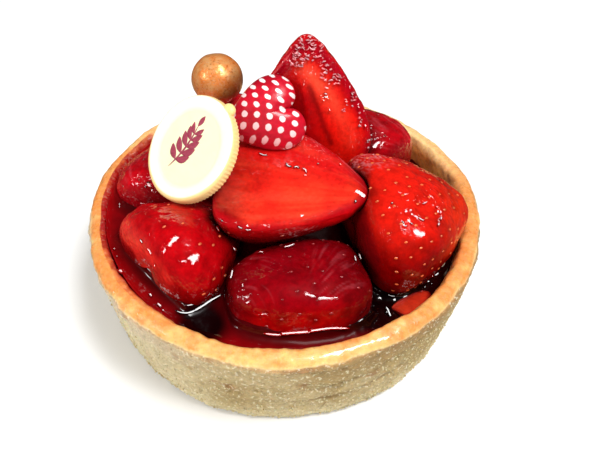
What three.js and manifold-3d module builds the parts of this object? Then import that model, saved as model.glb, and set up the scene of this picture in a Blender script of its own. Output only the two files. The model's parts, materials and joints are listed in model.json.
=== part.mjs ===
// Strawberry tartlet: a deep round shortcrust shell filled with pastry cream and red glaze jelly.
// Six hulled strawberries lie in a ring in the jelly, two cut halves are stacked on top of them, and a
// third small slice lies at the wall. A white chocolate medallion, a puffed spotted chocolate heart and
// a bronze chocolate pearl decorate it.
// Millimetres. The origin is the centre of the base, +Z is up and -Y is the front.
import * as THREE from "three";
import { mergeVertices } from "three/addons/utils/BufferGeometryUtils.js";
import Module from "manifold-3d";

const wasm = await Module();
wasm.setup();

// Driving dimensions
const RIM_RADIUS = 42.5;
const BASE_RADIUS = 39.4;
const SHELL_HEIGHT = 23.2;
const RIM_WIDTH = 4.0;
const FLOOR_THICKNESS = 5.0;
const INNER_FLOOR_RADIUS = 34.6;
const CREAM_LEVEL = 14.0;
const JELLY_LEVEL = 19.1;
const JELLY_FALL = 0.075;
const WALL_LEVELS = [4, 7, 10, 12.5, 15, 18];
const CRACKS = [
  { level: 13.5, at: -1.25, reach: 0.22 },
  { level: 14.5, at: -0.85, reach: 0.2 },
  { level: 8.5, at: -1.3, reach: 0.35 },
];
const CRACK_DEPTH = 0.5;
const CRACK_HALF_HEIGHT = 0.9;
const FOOT_ROUNDING = 1.3;
const RIM_ROUNDING = 2.4;
const CREAM_DAB = { middle: [31.5, -10.7, 14.9], radii: [4.2, 3.2, 3.6], turn: -1.1 };
const GAP = 0.3;

// Seeds: their spacing, their size along the berry, across it and out of it, and how clear of a cut
// edge, a neighbour or the jelly they stay
const SEED_SPACING = 6.8;
const SEED_SIZE = new THREE.Vector3(1.8, 1.14, 0.8);
const SEED_CLEARANCE = 1.4;

// Colours, as sRGB
const CRUST = new THREE.MeshStandardMaterial({ color: 0xcdbb8c, roughness: 0.85, metalness: 0 });
const CREAM = new THREE.MeshStandardMaterial({ color: 0xf1dfb6, roughness: 0.5, metalness: 0 });
const JELLY = new THREE.MeshStandardMaterial({ color: 0x5c0710, roughness: 0.08, metalness: 0 });
const RIPE_BERRY = new THREE.MeshStandardMaterial({ color: 0xc4100f, roughness: 0.2, metalness: 0 });
const DARK_BERRY = new THREE.MeshStandardMaterial({ color: 0x8c0a16, roughness: 0.2, metalness: 0 });
const CUT_BERRY = new THREE.MeshStandardMaterial({ color: 0xe02a1a, roughness: 0.2, metalness: 0 });
const WHITE_CHOCOLATE = new THREE.MeshStandardMaterial({ color: 0xf8f1d2, roughness: 0.45, metalness: 0 });
const RED_CHOCOLATE = new THREE.MeshStandardMaterial({ color: 0xcf1430, roughness: 0.4, metalness: 0 });
const BRONZE = new THREE.MeshStandardMaterial({ color: 0xb5713a, roughness: 0.35, metalness: 0.8 });

// Every strawberry piece, in the order of laying. middle is the centre of the whole fruit, tip the direction
// from its cap to its tip, and top the direction of its cut face or of its upper side. length runs along the
// tip, width across it and depth along top. taper is 0 for an oval and 0.6 for a cone, blunt under 1 makes
// the body boxy, and hull is the thickness cut off with the leaves. phase turns its lobes and seeds. box over
// 2 makes its section squarer than an oval. cut is the height above the middle at which a cut piece ends, and
// hollow the depth of the groove in its cut face.
const BERRIES = [
  {
    name: "strawberry_front", material: DARK_BERRY,
    middle: [3.1, -23.4, 19.8], tip: [-0.973, -0.231, 0.152], top: [-0.07, 0.127, 1],
    length: 29.7, width: 19.5, depth: 17.4, taper: 0.16, blunt: 0.59, hull: 2.0, phase: 0.4,
    box: 3.3,
  },
  {
    name: "strawberry_front_left", material: RIPE_BERRY,
    middle: [-20.1, -14.3, 23.75], tip: [0.72, 0.69, -0.05], top: [-0.07, 0.07, 1],
    length: 25.6, width: 26.0, depth: 19.6, taper: 0.44, blunt: 0.75, hull: 4.0, phase: 2.1,
    box: 2.2,
  },
  {
    name: "strawberry_half_lying", material: CUT_BERRY,
    middle: [1.0, -6.0, 34.05], tip: [0.97, -0.22, -0.04], top: [0.01, -0.13, 1],
    length: 32.0, width: 30.2, depth: 22.6, taper: 0.5, blunt: 0.76, hull: 2.5, phase: 4.0,
    cut: 1.2,
  },
  {
    name: "strawberry_right", material: RIPE_BERRY,
    middle: [25.0, -7.2, 24.5], tip: [0.97, 0.25, 0.06], top: [0.03, -0.12, 1],
    length: 27.8, width: 31.6, depth: 24.2, taper: 0.44, blunt: 0.91, hull: 2.4, phase: 1.2,
    box: 2.35,
  },
  {
    name: "strawberry_back_right", material: DARK_BERRY,
    middle: [17.4, 18.6, 21.8], tip: [-0.62, 0.75, 0.1], top: [0, 0, 1],
    length: 26.5, width: 22.5, depth: 22.0, taper: 0.3, blunt: 0.85, hull: 2.5, phase: 3.3,
  },
  {
    name: "strawberry_back", material: DARK_BERRY,
    middle: [-8.6, 25.0, 20.6], tip: [0.95, 0.2, -0.25], top: [0, 0, 1],
    length: 26.0, width: 21.5, depth: 20.0, taper: 0.34, blunt: 0.85, hull: 2.5, phase: 5.0,
  },
  {
    name: "strawberry_left", material: DARK_BERRY,
    middle: [-25.0, 7.6, 21.6], tip: [0.25, 0.96, 0.05], top: [0, 0, 1],
    length: 26.5, width: 22.5, depth: 21.5, taper: 0.3, blunt: 0.85, hull: 2.5, phase: 0.9,
  },
  {
    name: "strawberry_half_standing", material: CUT_BERRY,
    middle: [5.0, 10.8, 38.7], tip: [-0.04, 0.26, 0.94], top: [0.0, -0.95, 0.26],
    length: 33.2, width: 27.7, depth: 20.0, taper: 0.54, blunt: 0.95, hull: 3.4, phase: 2.7,
    cut: 1.4, hollow: 1.6,
  },
  {
    name: "strawberry_slice", material: CUT_BERRY,
    middle: [25.2, -25.0, 17.9], tip: [0.74, 0.67, 0.0], top: [-0.2, 0.14, 1],
    length: 10.6, width: 7.0, depth: 7.0, taper: 0.3, blunt: 0.9, hull: 1.5, phase: 1.7,
    cut: 0.5,
  },
];

// Decorations: where they stand, which way they face and their sizes
const DISC_MIDDLE = new THREE.Vector3(-18.4, -2.8, 39.5);
const DISC_FACE = new THREE.Vector3(-0.55, -0.44, 0.71);
const DISC_RADIUS = 11.0;
const DISC_THICKNESS = 2.6;
const BORDER_WIDTH = 2.0;
const BORDER_HEIGHT = 0.3;
const NIB_ANGLE = 1.33;
const NIB_RADII = [1.5, 1.3, 1.1];
const HEART_MIDDLE = new THREE.Vector3(-4.1, 4.4, 42.5);
const HEART_POINTS = new THREE.Vector3(-0.94, -0.14, -0.31);
const HEART_FACE = new THREE.Vector3(-0.04, -0.76, 0.65);
const HEART_LENGTH = 18.6;
const HEART_WIDTH = 15.8;
const HEART_THICKNESS = 5.0;
const PEARL_MIDDLE = new THREE.Vector3(-15.5, 25.1, 37.7);
const PEARL_RADIUS = 5.85;

// Meshes and solids

// Closes a grid of rings into a mesh: each ring has the same number of points, and a pole closes each end.
function closedGrid(rings, firstPole, lastPole) {
  const count = rings[0].length;
  const points = [firstPole, ...rings.flat(), lastPole];
  const last = points.length - 1;
  const faces = [];
  for (let j = 0; j < count; j++) {
    const k = (j + 1) % count;
    faces.push(0, 1 + k, 1 + j);
    for (let i = 0; i < rings.length - 1; i++) {
      const a = 1 + i * count;
      const b = a + count;
      faces.push(a + j, a + k, b + j, a + k, b + k, b + j);
    }
    faces.push(last, last - count + j, last - count + k);
  }
  const geometry = new THREE.BufferGeometry();
  geometry.setAttribute("position", new THREE.Float32BufferAttribute(points.flatMap((p) => p.toArray()), 3));
  geometry.setIndex(faces);
  return geometry;
}

// A closed geometry as a solid, turned right side out.
function solidOf(geometry) {
  const bare = geometry.clone();
  bare.deleteAttribute("normal");
  bare.deleteAttribute("uv");
  const merged = mergeVertices(bare, 1e-4);
  const vertProperties = new Float32Array(merged.attributes.position.array);
  const triVerts = new Uint32Array(merged.index.array);
  const solid = new wasm.Manifold(new wasm.Mesh({ numProp: 3, vertProperties, triVerts }));
  if (solid.volume() > 0) return solid;
  return new wasm.Manifold(new wasm.Mesh({ numProp: 3, vertProperties, triVerts: triVerts.reverse() }));
}

// The largest piece of a solid, without the loose scraps that a cut leaves.
function largestPiece(solid) {
  return solid.decompose().reduce((best, piece) => (piece.volume() > best.volume() ? piece : best));
}

function meshOf(name, solid, material) {
  const made = solid.getMesh();
  const geometry = new THREE.BufferGeometry();
  geometry.setAttribute("position", new THREE.Float32BufferAttribute(made.vertProperties, 3));
  geometry.setIndex(new THREE.Uint32BufferAttribute(made.triVerts, 1));
  const flat = geometry.toNonIndexed();
  flat.computeVertexNormals();
  const mesh = new THREE.Mesh(flat, material);
  mesh.name = name;
  return mesh;
}

// Strawberries

// The berry's own axes: across it, towards its cut or upper side, and along it to the tip.
function berryAxes(berry) {
  const along = new THREE.Vector3(...berry.tip).normalize();
  const across = new THREE.Vector3().crossVectors(new THREE.Vector3(...berry.top), along).normalize();
  const up = new THREE.Vector3().crossVectors(along, across);
  return { across, up, along, middle: new THREE.Vector3(...berry.middle) };
}

function berryFrame(axes) {
  return new THREE.Matrix4().makeBasis(axes.across, axes.up, axes.along).setPosition(axes.middle);
}

function cutHeight(berry) {
  return berry.cut === undefined ? Infinity : berry.cut;
}

// Half width as a share of the widest, at turn 0 at the cap's pole and pi at the tip.
function berryProfile(berry, turn) {
  const shape = (t) => Math.sin(t) ** berry.blunt * (1 + berry.taper * Math.cos(t));
  let widest = 0;
  for (let i = 1; i < 60; i++) widest = Math.max(widest, shape((i * Math.PI) / 60));
  return shape(turn) / widest;
}

// Low lobes and squareness round the berry, so that no section is a true oval.
function berryLobes(berry, turn, angle) {
  const slow = 0.035 * Math.sin(2 * angle + berry.phase + turn);
  const quick = 0.02 * Math.sin(3 * angle - 2 * berry.phase + 2 * turn);
  const power = berry.box || 2;
  const square = (Math.abs(Math.cos(angle)) ** power + Math.abs(Math.sin(angle)) ** power) ** (-1 / power);
  return (1 + (slow + quick) * Math.sin(turn)) * square;
}

// A point of the skin in the berry's own axes, grown outwards by grow.
function skinPoint(berry, turn, angle, grow = 0) {
  const share = berryProfile(berry, turn) * berryLobes(berry, turn, angle);
  return new THREE.Vector3(
    (berry.width / 2 + grow) * share * Math.cos(angle),
    (berry.depth / 2 + grow) * share * Math.sin(angle),
    -(berry.length / 2 + grow) * Math.cos(turn),
  );
}

// The hollow of a cut face, a long shallow groove left of the face's middle.
function hollowSolid(berry) {
  const axes = berryAxes(berry);
  const groove = new THREE.SphereGeometry(1, 14, 8);
  groove.scale(0.2 * berry.width, berry.hollow, 0.36 * berry.length);
  groove.translate(0.22 * berry.width, berry.cut, 0);
  return solidOf(groove.applyMatrix4(berryFrame(axes)));
}

// The bare fruit, without its hull and, on a cut piece, without the side beyond the cut.
function berryBody(berry, grow = 0, around = 20, rows = 9) {
  const axes = berryAxes(berry);
  const frame = berryFrame(axes);
  const firstTurn = Math.acos(1 - berry.hull / (berry.length / 2));
  const rings = [];
  for (let i = 0; i < rows; i++) {
    const turn = firstTurn + ((Math.PI - firstTurn) * i) / rows;
    const ring = [];
    for (let j = 0; j < around; j++) {
      ring.push(skinPoint(berry, turn, (2 * Math.PI * j) / around, grow).applyMatrix4(frame));
    }
    rings.push(ring);
  }
  const capPole = new THREE.Vector3(0, 0, skinPoint(berry, firstTurn, 0, grow).z).applyMatrix4(frame);
  const tipPole = new THREE.Vector3(0, 0, berry.length / 2 + grow).applyMatrix4(frame);
  const whole = solidOf(closedGrid(rings, capPole, tipPole));
  if (berry.cut === undefined) return whole;
  const below = axes.up.clone().negate();
  const half = whole.trimByPlane(below.toArray(), below.dot(axes.middle) - berry.cut - grow);
  return berry.hollow && grow === 0 ? half.subtract(hollowSolid(berry)) : half;
}

// True where a point lies inside the whole fruit grown by grow.
function insideBerry(berry, point, grow) {
  const axes = berryAxes(berry);
  const from = point.clone().sub(axes.middle);
  const p = new THREE.Vector3(from.dot(axes.across), from.dot(axes.up), from.dot(axes.along));
  if (p.y > cutHeight(berry) + grow) return false;
  const cosine = -p.z / (berry.length / 2 + grow);
  if (Math.abs(cosine) >= 1) return false;
  const turn = Math.acos(cosine);
  const x = p.x / (berry.width / 2 + grow);
  const y = p.y / (berry.depth / 2 + grow);
  const share = berryProfile(berry, turn) * berryLobes(berry, turn, Math.atan2(y, x));
  return Math.hypot(x, y) < share * 1.02;
}

// True where a seed at a point would touch a decoration.
function nearDecoration(point) {
  const from = point.clone().sub(DISC_MIDDLE);
  const off = Math.abs(from.dot(DISC_FACE.clone().normalize()));
  const onDisc = from.length() < DISC_RADIUS + SEED_CLEARANCE && off < DISC_THICKNESS / 2 + SEED_CLEARANCE;
  const onHeart = point.distanceTo(HEART_MIDDLE) < HEART_WIDTH / 2 + SEED_CLEARANCE;
  return onDisc || onHeart || point.distanceTo(PEARL_MIDDLE) < PEARL_RADIUS + SEED_CLEARANCE;
}

// One seed: a low ball half sunk in the skin at a point, its long side towards the tip.
function seedSolid(berry, turn, angle) {
  const step = 0.02;
  const here = skinPoint(berry, turn, angle);
  const along = skinPoint(berry, turn + step, angle).sub(here).normalize();
  const across = skinPoint(berry, turn, angle + step).sub(here).normalize();
  const out = new THREE.Vector3().crossVectors(across, along).normalize();
  const turned = new THREE.Matrix4().makeBasis(along, new THREE.Vector3().crossVectors(out, along), out);
  turned.setPosition(here);
  const seed = new THREE.OctahedronGeometry(1, 0);
  seed.scale(SEED_SIZE.x / 2, SEED_SIZE.y / 2, SEED_SIZE.z / 2);
  return solidOf(seed.applyMatrix4(turned).applyMatrix4(berryFrame(berryAxes(berry))));
}

// True where a seed at a point of the skin stands free: above the jelly, inside the rim, and off the cut
// face, the hull, the other berries and the decorations.
function standsFree(berry, local, point, others) {
  if (local.z < berry.hull - berry.length / 2 + SEED_CLEARANCE) return false;
  if (local.y > cutHeight(berry) - SEED_CLEARANCE) return false;
  if (point.z < jellyTop(point.x) + SEED_CLEARANCE) return false;
  if (Math.hypot(point.x, point.y) > RIM_RADIUS - RIM_WIDTH - SEED_CLEARANCE) return false;
  if (nearDecoration(point)) return false;
  return !others.some((other) => insideBerry(other, point, SEED_CLEARANCE));
}

// Seeds in even rows round the berry, each row shifted by half a seed, where they stand free.
function seedsOf(berry, others) {
  const frame = berryFrame(berryAxes(berry));
  const seeds = [];
  const rowSpacing = SEED_SPACING * 0.8;
  const rows = Math.round(berry.length / rowSpacing);
  for (let i = 1; i < rows; i++) {
    const turn = Math.acos(1 - (2 * i) / rows);
    const girth = Math.PI * berryProfile(berry, turn) * (berry.width + berry.depth) / 2;
    const count = Math.max(3, Math.round(girth / SEED_SPACING));
    for (let j = 0; j < count; j++) {
      const angle = (2 * Math.PI * (j + (i % 2) / 2)) / count + berry.phase;
      const local = skinPoint(berry, turn, angle);
      const point = local.clone().applyMatrix4(frame);
      if (standsFree(berry, local, point, others)) seeds.push(seedSolid(berry, turn, angle));
    }
  }
  return seeds;
}

// Shell

// Height of the jelly, which stands lower on the right.
function jellyTop(x) {
  return JELLY_LEVEL - JELLY_FALL * x;
}

// Radius of the shell's inner wall at a height.
function innerRadius(z) {
  const share = (z - FLOOR_THICKNESS) / (SHELL_HEIGHT - FLOOR_THICKNESS);
  return INNER_FLOOR_RADIUS + (RIM_RADIUS - RIM_WIDTH - INNER_FLOOR_RADIUS) * Math.min(1, share) ** 0.6;
}

// Radius of the shell's outer wall at a height.
function outerRadius(z) {
  return BASE_RADIUS + (RIM_RADIUS - BASE_RADIUS) * (z / SHELL_HEIGHT) ** 0.8;
}

// Depth of one level crack in the wall, at an angle and height.
function crackDepth(crack, angle, z) {
  const wander = 0.5 * Math.sin(5 * angle);
  const above = (z - crack.level - wander) / CRACK_HALF_HEIGHT;
  const turn = angle - crack.at;
  const beside = Math.atan2(Math.sin(turn), Math.cos(turn)) / crack.reach;
  return CRACK_DEPTH * Math.exp(-above * above - beside * beside);
}

// Uneven hand-pressed surface: slow waves all round, small lumps and shallow level cracks.
function crustRelief(angle, z) {
  const waves = 0.28 * Math.sin(3 * angle + 0.7) + 0.18 * Math.sin(7 * angle + 2.1 + 0.2 * z);
  const lumps = 0.12 * Math.sin(19 * angle + 1.3 * z) + 0.1 * Math.sin(31 * angle - 0.9 * z);
  return CRACKS.reduce((relief, crack) => relief - crackDepth(crack, angle, z), waves + lumps);
}

// Shell profile from the base, up the outside, over the rim and down inside, as radius, height and the
// share of the relief.
function shellProfile() {
  const top = SHELL_HEIGHT;
  const crest = RIM_RADIUS - RIM_WIDTH / 2;
  const inner = innerRadius(top);
  return [
    [BASE_RADIUS - FOOT_ROUNDING, 0, 0],
    [BASE_RADIUS - 0.1 * FOOT_ROUNDING, 0.7 * FOOT_ROUNDING, 0.6],
    ...WALL_LEVELS.map((z) => [outerRadius(z), z, 1]),
    [RIM_RADIUS, top - RIM_ROUNDING, 0.8],
    [RIM_RADIUS - 0.2 * RIM_ROUNDING, top - 0.4 * RIM_ROUNDING, 0.7],
    [RIM_RADIUS - 0.65 * RIM_ROUNDING, top - 0.05 * RIM_ROUNDING, 0.7],
    [crest - 0.3 * RIM_WIDTH, top, 0.6],
    [inner, top - 0.35 * RIM_ROUNDING, 0.4],
    [innerRadius(CREAM_LEVEL), CREAM_LEVEL, 0],
    [INNER_FLOOR_RADIUS, FLOOR_THICKNESS, 0],
  ];
}

// Height that the rim's crest rises and falls round the shell.
function rimWaves(angle, share) {
  return 0.3 * share * Math.sin(5 * angle + 1) + 0.2 * Math.sin(11 * angle);
}

function shellSolid(around = 70) {
  const rings = shellProfile().map(([radius, z, share]) => {
    const ring = [];
    for (let j = 0; j < around; j++) {
      const angle = (2 * Math.PI * j) / around;
      const r = radius + share * crustRelief(angle, z);
      const lift = z > SHELL_HEIGHT - RIM_ROUNDING ? rimWaves(angle, share) : 0;
      ring.push(new THREE.Vector3(r * Math.cos(angle), r * Math.sin(angle), z + lift));
    }
    return ring;
  });
  return solidOf(closedGrid(rings, new THREE.Vector3(0, 0, 0), new THREE.Vector3(0, 0, FLOOR_THICKNESS)));
}

// A level fill of the shell between two heights, which may vary with x, clear of the wall by the gap.
function fillSolid(bottomOf, topOf, around = 48) {
  const ringAt = (heightOf, share) => {
    const ring = [];
    for (let j = 0; j < around; j++) {
      const angle = (2 * Math.PI * j) / around;
      const level = heightOf(INNER_FLOOR_RADIUS * Math.cos(angle));
      const radius = (innerRadius(level) - GAP) * share;
      ring.push(new THREE.Vector3(radius * Math.cos(angle), radius * Math.sin(angle), level));
    }
    return ring;
  };
  const bottom = new THREE.Vector3(0, 0, bottomOf(0));
  const top = new THREE.Vector3(0, 0, topOf(0));
  return solidOf(closedGrid([ringAt(bottomOf, 1), ringAt(topOf, 1)], bottom, top));
}

// The dab of cream that stands up out of the jelly behind the right-hand strawberry's tip.
function creamDab(grow = 0) {
  const dab = new THREE.SphereGeometry(1, 14, 8);
  dab.scale(...CREAM_DAB.radii.map((radius) => radius + grow));
  dab.rotateZ(CREAM_DAB.turn);
  dab.translate(...CREAM_DAB.middle);
  return solidOf(dab);
}

// Decorations

// Turns a shape made with +Z as its face and +Y as its up side, and places it.
function placed(geometry, middle, face, upSide) {
  const z = face.clone().normalize();
  const x = new THREE.Vector3().crossVectors(upSide, z).normalize();
  const y = new THREE.Vector3().crossVectors(z, x);
  return geometry.applyMatrix4(new THREE.Matrix4().makeBasis(x, y, z).setPosition(middle));
}

// Moulded medallion: a round plate with a raised border, and a small moulding nib at its upper edge.
function discSolid() {
  const half = DISC_THICKNESS / 2;
  const field = half - BORDER_HEIGHT;
  const bevel = 0.7;
  const profile = [
    [0, -half],
    [DISC_RADIUS - bevel, -half],
    [DISC_RADIUS, bevel - half],
    [DISC_RADIUS, half - bevel],
    [DISC_RADIUS - bevel, half],
    [DISC_RADIUS - BORDER_WIDTH, half],
    [DISC_RADIUS - BORDER_WIDTH - bevel, field],
    [0, field],
  ].map(([r, z]) => new THREE.Vector2(r, z));
  const plate = new THREE.LatheGeometry(profile, 36).rotateX(Math.PI / 2);
  const nib = new THREE.SphereGeometry(1, 8, 6).scale(...NIB_RADII);
  nib.translate(DISC_RADIUS * Math.cos(NIB_ANGLE), DISC_RADIUS * Math.sin(NIB_ANGLE), 0);
  const up = new THREE.Vector3(0, 0, 1);
  const [face, point] = [plate, nib].map((shape) => solidOf(placed(shape, DISC_MIDDLE, DISC_FACE, up)));
  return face.add(point);
}

// Outline of the heart at a turn: its notch at 0 and its point, towards +X, at pi.
function heartOutline(turn) {
  const waves = [13, -4, -1.4, -0.4];
  const reach = waves.reduce((sum, size, i) => sum + size * Math.cos((i + 1) * turn), 0);
  const fullReach = 26.6;
  return new THREE.Vector2((-reach * HEART_LENGTH) / fullReach, (HEART_WIDTH / 2) * Math.sin(turn) ** 3);
}

// Puffed heart: a short side wall, then rings that shrink and rise towards its ridge. Its sides fall away
// from the line between notch and point.
function heartSolid(around = 36, rows = 5) {
  const half = HEART_THICKNESS / 2;
  const wall = 0.24 * HEART_THICKNESS;
  const ringAt = (share, height) => {
    const ring = [];
    for (let j = 0; j < around; j++) {
      const edge = heartOutline((2 * Math.PI * j) / around).multiplyScalar(share);
      const fall = (0.24 * edge.y * edge.y) / HEART_WIDTH;
      ring.push(new THREE.Vector3(edge.x, edge.y, height - fall));
    }
    return ring;
  };
  const rings = [ringAt(0.9, -half), ringAt(1, 0.6 * wall - half)];
  for (let i = 0; i < rows; i++) {
    const lean = ((i + 0.4) / rows) * (Math.PI / 2);
    rings.push(ringAt(Math.cos(lean) ** 0.8, wall - half + (HEART_THICKNESS - wall) * Math.sin(lean)));
  }
  const geometry = closedGrid(rings, new THREE.Vector3(0, 0, -half), new THREE.Vector3(0, 0, half));
  const upSide = new THREE.Vector3().crossVectors(HEART_FACE, HEART_POINTS);
  return solidOf(placed(geometry, HEART_MIDDLE, HEART_FACE, upSide));
}

function pearlSolid() {
  const ball = new THREE.SphereGeometry(PEARL_RADIUS, 18, 10);
  ball.translate(PEARL_MIDDLE.x, PEARL_MIDDLE.y, PEARL_MIDDLE.z);
  return solidOf(ball);
}

// Assembly

const tartlet = new THREE.Group();
const shell = shellSolid();
tartlet.add(meshOf("pastry_shell", shell, CRUST));

// Each berry is pressed flat where it meets the shell or one laid before it.
const laid = [];
for (const berry of BERRIES) {
  let body = berryBody(berry).subtract(shell);
  for (const other of laid) body = body.subtract(berryBody(other, GAP));
  for (const seed of seedsOf(berry, BERRIES.filter((other) => other !== berry))) body = body.add(seed);
  tartlet.add(meshOf(berry.name, largestPiece(body), berry.material));
  laid.push(berry);
}

const pressed = BERRIES.map((berry) => berryBody(berry, GAP));
const cutRound = (solid) => largestPiece(pressed.reduce((rest, berry) => rest.subtract(berry), solid));
const creamBase = fillSolid(() => FLOOR_THICKNESS + GAP, () => CREAM_LEVEL);
tartlet.add(meshOf("pastry_cream", cutRound(creamBase.add(creamDab())), CREAM));
const jelly = fillSolid(() => CREAM_LEVEL + GAP, jellyTop).subtract(creamDab(GAP));
tartlet.add(meshOf("glaze_jelly", cutRound(jelly), JELLY));

tartlet.add(meshOf("chocolate_heart", cutRound(heartSolid()), RED_CHOCOLATE));
tartlet.add(meshOf("chocolate_medallion", cutRound(discSolid()), WHITE_CHOCOLATE));
tartlet.add(meshOf("chocolate_pearl", cutRound(pearlSolid()), BRONZE));

export default tartlet;
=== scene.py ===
import json

import bpy
import numpy as np
from mathutils import Matrix


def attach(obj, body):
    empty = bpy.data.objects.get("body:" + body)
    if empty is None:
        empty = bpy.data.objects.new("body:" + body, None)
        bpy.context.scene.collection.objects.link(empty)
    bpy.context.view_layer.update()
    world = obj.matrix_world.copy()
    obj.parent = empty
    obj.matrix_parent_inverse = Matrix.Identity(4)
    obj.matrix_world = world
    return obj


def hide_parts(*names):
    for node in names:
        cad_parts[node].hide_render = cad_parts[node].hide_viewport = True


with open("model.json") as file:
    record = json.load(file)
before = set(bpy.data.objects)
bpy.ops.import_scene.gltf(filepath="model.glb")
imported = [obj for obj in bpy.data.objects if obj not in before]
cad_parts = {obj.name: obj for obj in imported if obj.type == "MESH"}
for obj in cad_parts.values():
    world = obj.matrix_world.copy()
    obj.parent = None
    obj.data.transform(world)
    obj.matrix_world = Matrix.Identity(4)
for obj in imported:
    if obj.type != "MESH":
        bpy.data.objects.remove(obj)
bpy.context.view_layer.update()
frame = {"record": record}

# Every shape is worked out in millimetres, and put into its mesh in metres.
MM = 0.001

# Shell, filling and gaps, as in the solids
RIM_RADIUS = 42.5
BASE_RADIUS = 39.4
SHELL_HEIGHT = 23.2
RIM_WIDTH = 4.0
FLOOR_THICKNESS = 5.0
INNER_FLOOR_RADIUS = 34.6
CREAM_LEVEL = 14.0
JELLY_LEVEL = 19.1
JELLY_FALL = 0.075
FOOT_ROUNDING = 1.3
RIM_ROUNDING = 2.4
CRACKS = [(13.5, -1.25, 0.22), (14.5, -0.85, 0.2), (8.5, -1.3, 0.35)]
CRACK_DEPTH = 0.5
CRACK_HALF_HEIGHT = 0.9
DAB_MIDDLE = (31.5, -10.7, 14.9)
DAB_RADII = (4.2, 3.2, 3.6)
DAB_TURN = -1.1
GAP = 0.3
# Between the jelly and the shell's wall
JELLY_GAP = 0.02
# How far the painted shade between two fruits reaches out of their gap
CREVICE_SHADE_REACH = 1.9

# The strawberries in the order of laying, as in the solids: middle, tip and top place each one, taper and
# blunt shape its outline, phase turns its lobes, hull is the thickness cut off with the leaves, cut the
# height of a cut face above the middle, and hollow the depth of the bowl in it. The rest is finish: box makes
# the section squarer than an oval, spacing and kept place the seeds and say what share of them shows, pit is
# the depth of their pits, lump the height of the lumps in the skin, cap_round and cut_round the rounding of
# the edges round the cap and the cut face, and grid the number of rows of points and of points in each.
BERRIES = {
    "strawberry_front": dict(
        middle=(3.1, -23.4, 19.8), tip=(-0.973, -0.231, 0.152), top=(-0.07, 0.127, 1),
        length=29.7, width=19.5, depth=17.4, taper=0.16, blunt=0.59, hull=2.0, phase=0.4,
        box=3.3, spacing=3.9, kept=0.5, pit=0.1, lump=0.42, cap_round=3.0, grid=(220, 220),
    ),
    "strawberry_front_left": dict(
        middle=(-20.1, -14.3, 23.75), tip=(0.72, 0.69, -0.05), top=(-0.07, 0.07, 1),
        length=25.6, width=26.0, depth=19.6, taper=0.44, blunt=0.75, hull=4.0, phase=2.1,
        box=2.2, spacing=4.2, kept=0.5, pit=0.12, lump=0.5, cap_round=4.6, grid=(220, 220),
    ),
    "strawberry_half_lying": dict(
        middle=(1.0, -6.0, 34.05), tip=(0.97, -0.22, -0.04), top=(0.01, -0.13, 1),
        length=32.0, width=30.2, depth=22.6, taper=0.5, blunt=0.76, hull=2.5, phase=4.0,
        cut=1.2, cut_round=2.2, spacing=4.4, kept=0.35, pit=0.08, lump=0.3, cap_round=3.0,
        grid=(220, 220),
    ),
    "strawberry_right": dict(
        middle=(25.0, -7.2, 24.5), tip=(0.97, 0.25, 0.06), top=(0.03, -0.12, 1),
        length=27.8, width=31.6, depth=24.2, taper=0.44, blunt=0.91, hull=2.4, phase=1.2,
        box=2.35, spacing=3.5, kept=0.92, pit=0.16, lump=0.34, cap_round=4.5, grid=(220, 220),
    ),
    "strawberry_back_right": dict(
        middle=(17.4, 18.6, 21.8), tip=(-0.62, 0.75, 0.1), top=(0, 0, 1),
        length=26.5, width=22.5, depth=22.0, taper=0.3, blunt=0.85, hull=2.5, phase=3.3,
        spacing=3.8, kept=0.3, pit=0.12, lump=0.4, cap_round=4.0, grid=(180, 200),
    ),
    "strawberry_back": dict(
        middle=(-8.6, 25.0, 20.6), tip=(0.95, 0.2, -0.25), top=(0, 0, 1),
        length=26.0, width=21.5, depth=20.0, taper=0.34, blunt=0.85, hull=2.5, phase=5.0,
        spacing=3.7, kept=0.7, pit=0.2, lump=0.35, cap_round=5.0, grid=(180, 200),
    ),
    "strawberry_left": dict(
        middle=(-25.0, 7.6, 21.6), tip=(0.25, 0.96, 0.05), top=(0, 0, 1),
        length=26.5, width=22.5, depth=21.5, taper=0.3, blunt=0.85, hull=2.5, phase=0.9,
        spacing=4.0, kept=0.5, pit=0.14, lump=0.4, cap_round=4.0, grid=(180, 200),
    ),
    "strawberry_half_standing": dict(
        middle=(5.0, 10.8, 38.7), tip=(-0.04, 0.26, 0.94), top=(0.0, -0.95, 0.26),
        length=33.2, width=27.7, depth=20.0, taper=0.54, blunt=0.95, hull=3.4, phase=2.7,
        cut=1.4, cut_round=1.6, hollow=1.6, spacing=4.0, kept=0.8, pit=0.2, lump=0.3, cap_round=3.0,
        grid=(230, 220),
    ),
    "strawberry_slice": dict(
        middle=(25.2, -25.0, 17.9), tip=(0.74, 0.67, 0.0), top=(-0.2, 0.14, 1),
        length=10.6, width=7.0, depth=7.0, taper=0.3, blunt=0.9, hull=1.5, phase=1.7,
        cut=0.5, cut_round=1.2, spacing=3.0, kept=0.5, pit=0.1, lump=0.12, cap_round=1.5, grid=(90, 110),
    ),
}

# How far the cap's rounding is moved out, as a share of the rounding, so that the rounded fruit is as long as
# the solid
CAP_REACH = 0.55
# Stands for the height of the cut face on a whole fruit
UNCUT = 99.0
# Radius of the pit round a seed, and the dimple in the cap where the leaves were
PIT_REACH = 0.95
DIMPLE_DEPTH = 0.9
DIMPLE_RADIUS = 2.6

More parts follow.
